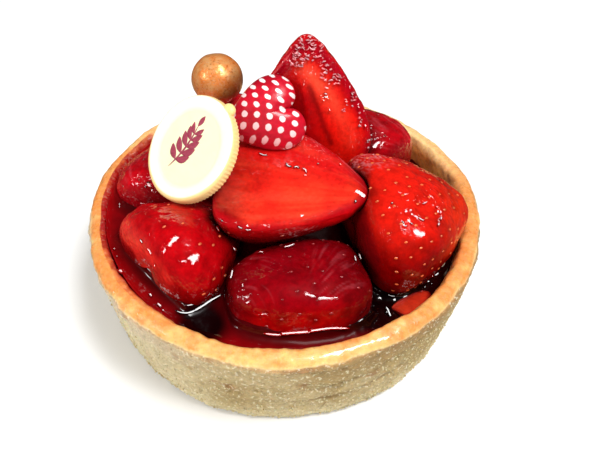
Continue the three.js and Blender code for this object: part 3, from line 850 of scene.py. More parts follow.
# Where the glaze has drained off and is dull, on the side near the camera: each its middle and reach in the
# photograph, in pixels, and the share of the shine lost
DULL_PATCHES = {
    "strawberry_front": [((308, 293), (52, 20), 1.0)],
    "strawberry_front_left": [((182, 250), (34, 26), 0.98)],
    "strawberry_half_lying": [
        ((305, 214), (90, 13), 0.97), ((350, 200), (16, 14), 0.97), ((296, 196), (26, 16), 0.97),
    ],
    "strawberry_right": [
        ((386, 258), (17, 46), 0.97), ((412, 222), (26, 22), 0.9), ((430, 254), (26, 22), 0.9),
    ],
    "strawberry_half_standing": [((335, 150), (30, 60), 0.5)],
    "strawberry_back_right": [((376, 150), (20, 16), 0.9)],
    "jelly": [((325, 236), (28, 16), 0.97), ((216, 318), (26, 16), 0.97), ((322, 340), (62, 11), 0.97)],
}


def wetness(name, points, middle):
    """How wet the glaze is: 1, and 1 minus the share inside the oval of each dull patch, with a soft ragged
    edge."""
    wet = np.ones(len(points))
    across, down, _ = in_photo(points)
    near = near_side(points, middle)
    for place, reach, share in DULL_PATCHES.get(name, []):
        away = ((across - place[0]) / reach[0]) ** 2 + ((down - place[1]) / reach[1]) ** 2
        wet = wet * (1 - share * near * eased(1.3, 0.75, away + 0.12 * noise(points, 1.2, 61)))
    return wet


def padded_ends(values, shape):
    """A number or a colour for each point of a grid of a shape, and the mean of its first and last rows."""
    return with_poles(values.reshape(*shape, -1)).squeeze()


def lines_along(first, second, width, length, seed):
    """Fine lines: noise that changes every width along the first coordinate and every length along the
    second, in millimetres."""
    place = np.stack([first / width, second / length, first * 0], -1)
    return rough_noise(place, 1.0, seed, 2)


# The front left strawberry's cap end in the photograph: a place on the edge of the bright band round it and
# the way across the band, where the band fades downwards, where its streaks start and end, and a pale
# greyish spot at its corner
BAND_PLACE = (124, 239)
BAND_WAY = (0.83, -0.56)
BAND_FADES = (300, 276)
STREAKS_START = (258, 266)
STREAKS_END = (300, 288)
PALE_CORNER_PLACE = (112, 229)


def whole_colours(name, facts, world, number):
    """Colours of a whole berry's skin and how wrinkled its glaze is: bright where it is riper and where
    painted light falls, dark crimson where painted shade falls between the fruits, and darker in the pits,
    where shade is painted."""
    skin = facts["skin"]
    slow = rough_noise(skin + 9 * number, 8.0, 60 + number)
    quick = rough_noise(skin, 2.2, 90 + number, 2)
    x, y, high = world.T
    girth_place = facts["angle"] * facts["half_width"]
    wrinkle = 0.25 + 0.3 * eased(0.0, 0.8, slow)
    cap_share = 0.5
    if name == "strawberry_right":
        # Ripeness and painted light: brighter and more orange at the top and to the right, darker low at the
        # left.
        ripe_and_lit = eased(27, 36, high + 0.8 * slow) * eased(12, 20, x + 0.5 * slow)
        # A pale fuzzy patch near the cap: fine lines in the glaze with a painted sheen.
        patch = eased(9, 3, np.hypot(x - 16.5, y - 2.5)) * eased(27, 31, high)
        fuzz_and_sheen = eased(-0.2, 0.6, rough_noise(skin, 0.55, 128, 2))
        colour = layered(
            linear(128, 0, 0), ((222, 26, 12), ripe_and_lit),
            ((236, 46, 6), 0.7 * eased(29, 36, x) * eased(20, 27, high)),
            ((216, 112, 114), 0.9 * patch * fuzz_and_sheen),
        )
        wrinkle = wrinkle + 0.8 * patch + 0.5 * eased(8, 4, np.hypot(x - 26.5, y + 11.5))
    elif name == "strawberry_front_left":
        across, down, _ = in_photo(world)
        pale = eased(0.1, 0.8, lines_along(girth_place, skin[:, 2], 0.8, 5, 6)) * eased(31, 34, high)
        off = (across - BAND_PLACE[0]) * BAND_WAY[0] + (down - BAND_PLACE[1]) * BAND_WAY[1] + 2.5 * quick
        band = eased(-3, 2, off) * eased(21, 8, off) * eased(*BAND_FADES, down)
        streaks = eased(*STREAKS_START, down) * eased(*STREAKS_END, down) * eased(4.5, 1, np.abs(off - 3))
        streaks = streaks * eased(-0.5, 0.6, rough_noise(skin, 0.8, 120 + number, 2))
        pale_corner = eased(9, 3, np.hypot(across - PALE_CORNER_PLACE[0], down - PALE_CORNER_PLACE[1]))
        colour = layered(
            linear(138, 0, 0), ((180, 2, 10), eased(20, 30, high + 2 * slow)),
            ((112, 0, 4), 0.6 * eased(-13, -8, x)), ((184, 40, 44), 0.2 * pale),
            ((120, 4, 6), 0.85 * eased(1, -5, off)), ((232, 44, 36), 0.85 * band),
            ((170, 84, 62), 0.7 * streaks), ((150, 96, 96), 0.6 * pale_corner),
        )
        cap_share = 0.0
        wrinkle = wrinkle + 0.1
    elif name == "strawberry_front":
        around, out = np.arctan2(y + 34, x - 2), np.hypot(x - 2, y + 34)
        fan = eased(0.0, 0.9, lines_along(around * 12, out, 0.42, 5, 8))
        fan = fan * eased(3, 8, x) * eased(25, 28, high)
        arcs = eased(0.1, 0.9, lines_along(np.hypot(x + 9, y + 34), x, 0.5, 3, 18))
        arcs = arcs * eased(-1, -4, x) * eased(24, 27, high)
        colour = layered(
            linear(154, 0, 5), ((132, 0, 12), eased(22, 28, high + 2 * slow)),
            # Painted light: a brighter red band low at the front, where light comes through the glaze.
            ((166, 0, 2), 0.8 * eased(26, 22.5, high) * eased(-26, -29, y)),
            ((92, 0, 5), 0.8 * eased(7, 15, x + slow)), ((100, 0, 8), 0.7 * eased(-4, -11, x + slow)),
            ((180, 70, 80), 0.4 * fan + 0.2 * arcs),
        )
        wrinkle = wrinkle + 0.25 * eased(-4, -9, x)
    else:
        pale = eased(0.1, 0.9, lines_along(girth_place, skin[:, 2], 0.5, 3.0, 8 + number))
        colour = layered(
            linear(184, 2, 16), ((214, 10, 28), eased(-0.6, 0.8, slow)),
            ((200, 76, 86), 0.4 * pale * eased(24, 30, high)),
        )
        wrinkle = wrinkle + 0.4
    colour = blended(colour, colour * 0.75, eased(0, 0.9, quick))
    # Painted shade: darker in the seeds' pits.
    colour = blended(colour, colour * 0.6, 0.5 * facts["pit"])
    colour = layered(colour, ((120, 6, 14), cap_share * facts["cap"]))
    # Painted shade: the skin darker where other fruits lie close.
    return colour * (1 - 0.93 * crevice_shade(name, world))[:, None], wrinkle


# Where the orange ridge, brightened by painted light, and the dark groove, darkened by painted shade, of the
# standing half run in the photograph
LIT_RIDGE_PIXELS = [(300, 62), (309, 73), (321, 88), (334, 106), (345, 124), (350, 140)]
SHADED_GROOVE_PIXELS = [(310, 88), (315, 101), (320, 115), (325, 129), (331, 143)]
PATH_STEPS = 40


def beside_path(points, pixels):
    """How far points are from a smooth path through pixels, in pixels of the photograph."""
    across, down, _ = in_photo(points)
    path = smooth_path(pixels, PATH_STEPS)
    return np.hypot(across[:, None] - path[:, 0], down[:, None] - path[:, 1]).min(1)


def cut_colours(name, facts, world, number):
    """Colours of a cut berry and how wrinkled its glaze is. Its face runs from dark skin over a crimson
    margin to orange-red flesh, with fine lines that run from the cap to the tip and draw together there.
    Painted light brightens the standing half's ridge; painted shade darkens its groove, the lying half's
    left end, the skin away from the cut, the pits and the places near other fruits."""
    skin = facts["skin"]
    along = skin[:, 2]
    slow = rough_noise(skin + 5, 7.0, 160 + number)
    fine = rough_noise(skin, 0.9, 170 + number, 2)
    side, margin = facts["side"], facts["margin"]
    fibres = lines_along(side * 9, along, 1.0, 11.0, 190 + number)
    x, y, _ = world.T
    if name == "strawberry_half_standing":
        # Painted light along the ridge, over orange flesh.
        ridge = bell(beside_path(world, LIT_RIDGE_PIXELS) / 8.5) * eased(13.5, 9, along)
        ridge = ridge * (0.4 + 0.6 * eased(-4, 6, along)) * (0.85 + 0.3 * slow)
        # Painted shade in the groove.
        groove = bell(beside_path(world, SHADED_GROOVE_PIXELS) / 3.4)
        flesh = layered(
            linear(184, 4, 12), ((206, 8, 12), eased(-0.5, 0.5, slow)),
            ((238, 18, 8), eased(-0.1, 0.45, -side) * eased(7, -2, along)),
            ((255, 76, 50), np.clip(ridge, 0, 1)), ((190, 6, 6), 0.3 * eased(0.2, 0.9, fibres)),
            ((120, 2, 4), 0.75 * groove),
        )
        margin_tone, deep = linear(160, 0, 20), 3.4
        tip = 0.75 * eased(6.0, 11.0, along)
        wrinkle = 0.12 + 1.6 * eased(3, 8.5, along + 2.5 * side) + 1.2 * eased(2.6, 1.0, margin)
    elif name == "strawberry_half_lying":
        length = BERRIES[name]["length"]
        flesh = layered(
            linear(222, 34, 22), ((236, 56, 32), eased(-0.6, 0.7, slow)),
            # Painted shade: the lying half darker at its left end, under the heart.
            ((120, 2, 2), 0.95 * eased(-3, -13, x + 2 * slow)),
            ((200, 14, 18), 0.9 * eased(-6.0, 0.5, y + 0.35 * x)),
            ((196, 14, 12), 0.35 * eased(0.1, 0.8, fibres)), ((252, 88, 62), 0.16 * eased(0.1, 0.8, -fibres)),
        )
        margin_tone, deep = linear(172, 8, 18), 3.2
        tip = 0.4 * eased(0.25 * length, 0.45 * length, along)
        wrinkle = 0.1 + 0.35 * eased(3.5, 0.8, margin)
    else:
        flesh = layered(linear(192, 42, 22), ((212, 60, 30), eased(-0.5, 0.8, slow)))
        margin_tone, deep = linear(130, 14, 8), 1.2
        tip, wrinkle = 0.0, np.full(len(skin), 0.4)
    face = blended(margin_tone, flesh, eased(0.2, deep, margin + 0.6 * slow - 1.2 * tip))
    hairs = eased(0.0, 0.8, lines_along(side * 11 + along * 0.5, along - side * 4, 0.5, 3.0, 41))
    face = layered(face, ((226, 84, 88), 0.5 * hairs * eased(3.8, 1.2, margin) * eased(0.1, 0.5, side)))
    # Painted shade: the skin darker away from the cut face and in the seeds' pits.
    outside = layered(linear(124, 0, 3), ((190, 4, 8), eased(-3.0, 1.6, skin[:, 1] + slow)))
    outside = blended(outside, outside * 0.6, 0.5 * facts["pit"])
    colour = blended(outside, face, facts["face"])
    colour = blended(colour, colour * 0.8, 0.5 * eased(0, 0.9, fine))
    colour = layered(colour, ((120, 4, 10), 0.6 * facts["cap"]))
    # Painted shade where other fruits lie close, weaker on the cut face.
    return colour * (1 - 0.9 * crevice_shade(name, world) * (1 - 0.8 * facts["face"]))[:, None], wrinkle


SKIN_FINISH = {"ripe_berry": glazed_fruit("glazed_ripe_skin", False),
               "dark_berry": glazed_fruit("glazed_dark_skin", False),
               "cut_berry": glazed_fruit("glazed_cut_flesh", True)}
SEED_COLOURS = {
    "strawberry_front": linear(150, 34, 36), "strawberry_front_left": linear(216, 96, 56),
    "strawberry_right": linear(226, 100, 50), "strawberry_half_lying": linear(180, 60, 40),
    "strawberry_half_standing": linear(214, 110, 60),
}
OTHER_SEEDS = linear(150, 40, 34)
SEED_HALF_SIZES = np.array([0.38, 0.25, 0.15])
# How far the middle of a seed stands out of its pit
SEED_LIFT = 0.02


def berry_slot(name):
    """The material slot that the record gives a node."""
    return next(row["material_slot"] for row in frame["record"]["subparts"] if row["node"] == name)


def make_berries():
    """All the strawberries, and their seeds as one joined mesh of small flattened balls. Returns the
    strawberries' points and colours."""
    shape, shape_faces = ball_shape(4, 7)
    shape = shape[:, [2, 0, 1]] * SEED_HALF_SIZES
    places, frames, tints, surface, paints = [], [], [], [], []
    for number, (name, berry) in enumerate(BERRIES.items()):
        points, facts, (seed_points, seed_frames) = shape_berry(name, number)
        paint = cut_colours if "cut" in berry else whole_colours
        colour, wrinkle = paint(name, facts, points[:-2], number)
        wet = wetness(name, points[:-2], np.array(berry["middle"]))
        values = {"colour": padded_ends(np.clip(colour, 0, 1), berry["grid"]),
                  "wetness": padded_ends(np.maximum(wet, facts["shine"]), berry["grid"]),
                  "wrinkle": padded_ends(wrinkle * (1 - 0.8 * facts["shine"]), berry["grid"])}
        surface.append(points)
        paints.append(values["colour"])
        slot = berry_slot(name)
        piece = make_piece("glazed_" + name, points, closed_grid(*berry["grid"]), SKIN_FINISH[slot], values)
        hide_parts(name)
        random = np.random.default_rng(700 + number)
        frames.append(seed_frames * random.uniform(0.8, 1.15, (len(seed_points), 1, 1)))
        places.append(seed_points + seed_frames[:, 2] * SEED_LIFT)
        tint = SEED_COLOURS.get(name, OTHER_SEEDS) * random.uniform(0.7, 1.15, (len(seed_points), 1))
        tints.append(np.repeat(tint, len(shape), 0))
    points, faces = joined(shape, shape_faces, np.concatenate(frames), np.concatenate(places))
    piece = make_piece("strawberry_seeds", points, faces, seed_finish(), {"colour": np.concatenate(tints)})
    return np.concatenate(surface), np.concatenate(paints)


# Shell

# The number of points round the shell, and a row of its profile that lies on the outer wall
SHELL_COLUMNS = 570
WALL_ROW = 60
# Where syrup has run over the rim, as the angle round the middle, and what the shade at the left leaves of
# the wall's red, green and blue
SYRUP_ANGLE = -1.25
LEFT_SHADE = np.array([0.78, 0.71, 0.6])


def outer_radius(z):
    """Radius of the outer wall at a height, rounded in at the foot."""
    low = np.clip(1 - z / FOOT_ROUNDING, 0, 1)
    foot = FOOT_ROUNDING * (1 - np.sqrt(1 - low**2))
    return BASE_RADIUS + (RIM_RADIUS - BASE_RADIUS) * (z / SHELL_HEIGHT) ** 0.8 - foot


def cracks(angle, z, half_height):
    """How deep in each crack the wall is: 1 in its wavy line and falling off above, below and beside it."""
    for level, at, reach in CRACKS:
        above = (z - level - 0.5 * np.sin(5 * angle)) / half_height
        beside = np.arctan2(np.sin(angle - at), np.cos(angle - at)) / reach
        yield bell(np.hypot(above, beside))


def crust_relief(angle, z):
    """Uneven hand-pressed surface: slow waves all round, small lumps and shallow level cracks."""
    relief = 0.28 * np.sin(3 * angle + 0.7) + 0.18 * np.sin(7 * angle + 2.1 + 0.2 * z)
    relief = relief + 0.12 * np.sin(19 * angle + 1.3 * z) + 0.1 * np.sin(31 * angle - 0.9 * z)
    for crack in cracks(angle, z, CRACK_HALF_HEIGHT):
        relief = relief - CRACK_DEPTH * crack
    return relief


def relief_share(z):
    """How much of the relief the wall takes at a height: less at the foot."""
    return np.minimum(0.6 + 0.15 * z, 1)


def smooth_path(knots, count):
    """A smooth path through the knots: between two of them, the cubic whose slopes there are half the step
    from the knot before to the knot after."""
    knots = np.array(knots, float)
    ends = np.concatenate([[2 * knots[0] - knots[1]], knots, [2 * knots[-1] - knots[-2]]])
    place = np.linspace(0, len(knots) - 1, count)
    at = np.minimum(place.astype(int), len(knots) - 2)
    t = (place - at)[:, None]
    a, b, c, d = (ends[at + k] for k in range(4))
    return 0.5 * (2 * b + (c - a) * t + (2 * a - 5 * b + 4 * c - d) * t**2 + (3 * b - a - 3 * c + d) * t**3)


def shell_profile():
    """Radius, height and share of the relief, from the middle of the base up the outside, over the rim and
    down inside."""
    top = SHELL_HEIGHT
    crest = RIM_RADIUS - RIM_WIDTH / 2
    base = [[r, 0, 0] for r in (8, 20, 30, 36)]
    foot = [[outer_radius(z), z, min(0.6, 0.4 * z + 0.05)] for z in (0, 0.06, 0.2, 0.45)]
    heights = np.linspace(0.75, top - RIM_ROUNDING - 0.6, 92)
    wall = np.stack([outer_radius(heights), heights, relief_share(heights)], -1)
    rim = smooth_path([
        [outer_radius(top - RIM_ROUNDING - 0.5), top - RIM_ROUNDING - 0.5, 0.9],
        [RIM_RADIUS, top - RIM_ROUNDING, 0.8],
        [RIM_RADIUS - 0.2 * RIM_ROUNDING, top - 0.4 * RIM_ROUNDING, 0.7],
        [RIM_RADIUS - 0.65 * RIM_ROUNDING, top - 0.05 * RIM_ROUNDING, 0.7],
        [crest - 0.3 * RIM_WIDTH, top, 0.6],
        [inner_radius(top), top - 0.35 * RIM_ROUNDING, 0.4],
        [inner_radius(top - 2.4), top - 2.4, 0.3],
    ], 46)
    low = np.linspace(top - 2.6, CREAM_LEVEL, 14)
    inside = np.stack([inner_radius(low), low, 0.3 * (low - CREAM_LEVEL) / 9], -1)
    floor = [[inner_radius(9), 9, 0], *([r, FLOOR_THICKNESS, 0] for r in (INNER_FLOOR_RADIUS, 20, 8))]
    return np.concatenate([base, foot, wall, rim, inside, floor])


def shell_grid(profile, angle):
    """The profile turned round the middle, with the relief of the solids, then sandy grain and small pits in
    the wall and soft lumps on the rim. Returns the points, how bare each is, which is 1 on the wall and 0
    under the rim's glaze, and which rows of the profile lie past its crest."""
    radius, z, share = (profile[:, k, None] for k in range(3))
    top = SHELL_HEIGHT - RIM_ROUNDING
    lift = 0.3 * share * np.sin(5 * angle + 1) + 0.2 * np.sin(11 * angle)
    crest = np.arange(len(profile))[:, None] > np.argmax(profile[:, 1])
    rise = np.where(crest, eased(16, top + 0.6, z), eased(top - 1.0, top + 0.6, z) * (share > 0.29))
    grid = round_axis(radius + share * crust_relief(angle, z), angle, z + lift * rise)
    height = grid[..., 2]
    normals = grid_normals(grid)
    normals *= np.sign((normals[WALL_ROW, :, :2] * grid[WALL_ROW, :, :2]).sum())
    bare = eased(23.0, 20.6, height) * ~crest
    grit = 0.2 * rough_noise(grid, 1.5, 11, 2) + 0.16 * noise(grid * [1, 1, 1.6], 0.8, 14)
    pores = -0.35 * eased(0.62, 0.9, noise(grid * [1, 1, 1.8], 2.1, 17))
    lumps = 0.13 * rough_noise(grid, 3.0, 21, 2) + 0.1 * noise(grid, 1.0, 23)
    lumps = lumps * (1 - 0.75 * crest * eased(21.5, 19.5, height)) * (share > 0)
    inner_edge = crest * eased(20, 22, height) * 0.16 * noise(grid, 1.4, 27)
    push = ((grit + pores) * bare * share + lumps * (1 - bare)) * eased(0.02, 0.6, z) + inner_edge
    grid = grid + normals * push[..., None]
    grid[..., 2] = np.maximum(grid[..., 2], 0)
    grid[z[:, 0] == 0, :, 2] = 0
    return grid, bare, crest


def shell_colours(grid, angle, bare, crest):
    """Colours of the shell, how much glaze is on it and where it glints: a sandy wall with painted shade at
    the left and, darker and browner, under the rim at the right, and a golden rim that meets it in an
    uneven line. The inner wall is golden too, and stained red down at the jelly. Painted light brightens
    the rim and the inner wall at the back, and turns the lower inner wall orange where it falls."""
    height = grid[..., 2]
    slow = rough_noise(grid, 9.0, 31)
    quick = rough_noise(grid, 2.4, 37)
    way = angle_of(grid)
    beside = np.cos(way)
    uneven = bare + 0.16 * quick
    rim_only = 1 - eased(0.35, 0.65, uneven)
    to_right = eased(-1.7, -0.6, way) * eased(1.8, 0.2, way)
    # Painted shade: darker and browner under the rim at the right.
    under = eased(14.0, 20.0, height + 1.6 * slow) * (0.15 + 0.85 * to_right)
    spots = eased(0.5, 0.9, noise(grid * [1, 1, 1.3], 3.4, 44)) * eased(6, 11, height)
    wall = layered(
        linear(222, 206, 164), ((196, 176, 128), eased(-0.7, 0.7, slow + beside)),
        ((224, 208, 162), 0.5 * eased(7, 0.5, height)),
    )
    wall = wall * blended(np.ones(3), LEFT_SHADE, eased(-0.8, -0.2, beside) * eased(1, 8, height))
    wall = layered(
        wall, ((164, 126, 78), 0.85 * under),
        ((214, 190, 168), 0.5 * eased(14.5, 18.5, height + quick) * eased(-0.2, -0.8, beside)),
        ((160, 104, 60), 0.55 * spots),
        *(((128, 98, 56), 0.6 * crack) for crack in cracks(angle, height, CRACK_HALF_HEIGHT / 2)),
    )
    out = (np.hypot(grid[..., 0], grid[..., 1]) - RIM_RADIUS + RIM_WIDTH) / RIM_WIDTH
    gold = layered(
        linear(231, 147, 76),
        ((230, 190, 114), eased(-0.6, 0.7, 0.7 * quick + 0.5 - 1.1 * np.abs(beside) + 0.5 * (out - 0.5))),
        ((214, 122, 62), 0.6 * eased(0.3, -0.05, out + 0.15 * quick)),
        ((240, 208, 146), 0.6 * eased(0.1, 0.5, bare + 0.2 * quick) * ~crest),
    )
    # Painted light: the rim's top and the inner wall brighter and paler gold at the back.
    lit = np.where(crest, 0.95, 0.7 * rim_only) * eased(0.1, 0.8, np.sin(way) + 0.15 * beside)
    lit_gold = layered(linear(255, 216, 150), ((255, 182, 94), eased(22.6, 20.6, height)))
    colour = blended(gold, wall, 1 - rim_only)
    colour = layered(colour, ((196, 132, 72), 0.45 * bell((uneven - 0.68) / 0.12) * ~crest))
    colour = blended(colour, lit_gold, lit)
    # Painted light: the lower inner wall turns orange where it is lit.
    colour = layered(colour, ((255, 150, 66), 0.75 * crest * lit * eased(21.4, 18.4, height)))
    at_left = eased(0.1, -0.7, beside)
    over_stain = height - (jelly_top(grid[..., 0]) + 0.9 + 0.5 * quick + 0.9 * at_left)
    orange = layered(linear(214, 74, 24), ((180, 34, 26), at_left))
    crimson = layered(linear(110, 4, 4), ((158, 14, 18), at_left))
    colour = blended(colour, orange, 0.8 * crest * eased(0.9, -0.6, over_stain))
    colour = blended(colour, crimson, 0.97 * crest * eased(0.2, -1.0, over_stain))
    glaze = 1 - eased(0.3, 0.7, uneven)
    glint = eased(0.24, 0.1, np.abs(way - SYRUP_ANGLE)) * eased(0.0, 0.5, glaze + 0.3 * quick) * ~crest
    return colour, glaze, glint


def make_shell():
    """The baked shell: its profile turned round the middle, with its relief and grain. Returns its finish,
    which the crumbs share."""
    profile = shell_profile()
    angle = full_turn(SHELL_COLUMNS)
    grid, bare, crest = shell_grid(profile, angle)
    points = with_poles(grid)
    points[-2:] = [[0, 0, 0], [0, 0, FLOOR_THICKNESS]]
    shape = grid.shape[:2]
    finishes = zip(("colour", "glaze", "glint"), shell_colours(grid, angle, bare, crest))
    values = {key: padded_ends(value, shape) for key, value in finishes}
    finish = crust_finish()
    piece = make_piece("baked_shell", points, closed_grid(*shape), finish, values)
    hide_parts("pastry_shell")
    return finish


# How many crumbs there are, and how far their middles stand out of the wall
CRUMB_COUNT = 2200
CRUMB_LIFT = 0.1


def make_crumbs(finish):
    """Loose crumbs that cling to the shell's wall, most of them near its foot: small uneven balls, each
    stretched and turned at random and sunk a little into the wall."""
    random = np.random.default_rng(5)
    angle = random.uniform(0, 2 * np.pi, CRUMB_COUNT)
    size = random.uniform(0.08, 0.24, CRUMB_COUNT)
    z = 0.2 + 15 * random.random(CRUMB_COUNT) ** 3.2 + size
    radius = outer_radius(z) + relief_share(z) * crust_relief(angle, z) + CRUMB_LIFT
    shape, faces = ball_shape(3, 6)
    turned = unit(random.normal(size=(CRUMB_COUNT, 3)))
    second = unit(np.cross(turned, random.normal(size=(CRUMB_COUNT, 3))))
    frames = np.stack([turned, second, np.cross(turned, second)], 1)
    frames = frames * (size[:, None] * random.uniform(0.7, 1.3, (CRUMB_COUNT, 3)))[..., None]
    points, faces = joined(shape, faces, frames, round_axis(radius, angle, z))
    points[:, 2] = np.maximum(points[:, 2], 0.02)
    tint = layered(linear(232, 216, 172), ((196, 170, 120), random.random(CRUMB_COUNT) ** 1.5))
    bare = np.zeros(len(points))
    values = {"colour": np.repeat(tint, len(shape), 0), "glaze": bare, "glint": bare}
    piece = make_piece("crust_crumbs", points, faces, finish, values)


# Filling

def wave_up(distance, height, reach):
    """Height of liquid that climbs a wall: it falls off as e^(-distance / reach)."""
    return height * np.exp(-np.maximum(distance, 0) / reach)


# Height of the wide pool of glaze at the foot of a strawberry
POOLS = {"strawberry_front": 0.8, "strawberry_front_left": 0.8, "strawberry_slice": 0.0}
OTHER_POOLS = 0.4
# Where the jelly is heaped: middle, half sizes and height of each smooth mound
MOUNDS = [(-31.0, -17.0, 9.0, 9.0, 0.8)]


def closed_below(grid, z, gap, shares):
    """The rows of a disc in the shell, and rows that close it below: rings at a height, at shares of the
    wall's radius less a gap."""
    ring = round_axis(inner_radius(z) - gap, full_turn(grid.shape[1]), z)
    return np.concatenate([grid, [ring * [share, share, 1] for share in shares]])


def make_jelly():
    """The glaze jelly: a disc of liquid whose top climbs the wall and every strawberry in a small curve, and
    lies in low waves between them. Returns its points and colours."""
    rows, around = 150, 600
    share = np.linspace(0.004, 1, rows)[:, None] ** 0.85
    angle = full_turn(around)
    edge = inner_radius(jelly_top(INNER_FLOOR_RADIUS * np.cos(angle))) - JELLY_GAP
    grid = round_axis(edge * share, angle, 0.0)
    top = jelly_top(grid[..., 0]).ravel()
    flat = grid.reshape(-1, 3)
    flat[:, 2] = top + 0.4
    from_wall = ((1 - share) * edge).ravel()
    climb = wave_up(from_wall, 1.0, 0.8) ** 3
    berry_gap = np.full(len(flat), np.inf)
    for name, berry in BERRIES.items():
        off = clearance(berry, flat)
        narrow = 0.1 if name == "strawberry_slice" else 0.9
        climb = climb + (wave_up(off, narrow, 0.5) + wave_up(off, POOLS.get(name, OTHER_POOLS), 0.9)) ** 3
        berry_gap = np.where(off > -1.5, np.minimum(berry_gap, np.abs(off)), berry_gap)
    climb = np.cbrt(climb)
    for mx, my, reach_x, reach_y, height in MOUNDS:
        climb += height * bell(np.hypot((flat[:, 0] - mx) / reach_x, (flat[:, 1] - my) / reach_y))
    to_right = eased(4, 20, flat[:, 0])
    ripples = 0.1 * rough_noise(flat, 4.0, 71, 2) + to_right * 0.22 * rough_noise(flat, 1.7, 73, 2)
    flat[:, 2] = top + climb + ripples
    grid = closed_below(flat.reshape(rows, around, 3), CREAM_LEVEL + GAP, JELLY_GAP, (1, 0.6, 0.2))
    points = with_poles(grid)
    slow = rough_noise(points, 7.0, 77, 2)
    below = len(points) - len(flat)
    at_wall = np.pad(np.exp(-from_wall / 1.6), (0, below))
    # Painted shade: the jelly at the left is redder away from the strawberries and darker near them.
    depth = np.pad(eased(0.3, 4.5, berry_gap), (0, below), constant_values=1)
    left = eased(16, -4, points[:, 0] + 3 * slow)
    left = np.maximum(left, eased(-30, -34, points[:, 1]) * eased(24, 14, points[:, 0]))
    colour = layered(
        linear(8, 0, 1), ((96, 0, 5), left * (0.3 + 0.7 * depth)),
        ((158, 6, 10), at_wall * (0.1 + 0.8 * left)),
        # Painted shade: nearly black in the gap between the front two strawberries.
        ((14, 0, 1), eased(7, 3, np.hypot(points[:, 0] + 15.5, points[:, 1] + 31.5))),
    )
    values = {"colour": colour, "wetness": wetness("jelly", points, np.zeros(3))}
    piece = make_piece("red_jelly", points, closed_grid(len(grid), around), jelly_finish("red_jelly"), values)
    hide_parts("glaze_jelly")
    return points, colour


def flecks(seed, count, middle, reach, longest, half_width):
    """Short crooked threads at random in an oval of the photograph, each as its half width, three pixels and
    its wetness."""
    random = np.random.default_rng(seed)
    angle, out = random.uniform(0, 2 * np.pi, count), np.sqrt(random.random(count))
    place = np.array(middle) + np.stack([np.cos(angle), np.sin(angle)], -1) * out[:, None] * reach
    lean = random.uniform(-1.1, 1.1, count)
    half = random.uniform(0.25, 0.5, count)[:, None] * longest * np.stack([np.cos(lean), np.sin(lean)], -1)
    crook = random.uniform(-0.8, 0.8, (count, 2))
    wide = half_width * random.uniform(0.7, 1.4, count)
    wet = random.uniform(0.15, 0.75, count)
    return [(w, [p - h, p + c, p + h], s) for w, p, h, c, s in zip(wide, place, half, crook, wet)]


# Wrinkles of glaze on the standing half, as the seed, count, oval, longest and half width of each group
WRINKLE_GROUPS = [
    (1, 46, (309, 49), (14, 13), 6.0, 0.7), (2, 20, (297, 61), (7, 8), 6.0, 0.75),
    (3, 20, (326, 73), (6, 15), 5.0, 0.75), (4, 12, (337, 79), (3.5, 7), 5.0, 0.75),
    (5, 6, (352.5, 98), (2.5, 9), 4.0, 0.8), (6, 6, (361, 120), (2.5, 10), 4.0, 0.8),
    (7, 4, (368, 143), (1.5, 6), 4.0, 0.8), (8, 8, (345, 106), (3, 12), 4.0, 0.6),
]
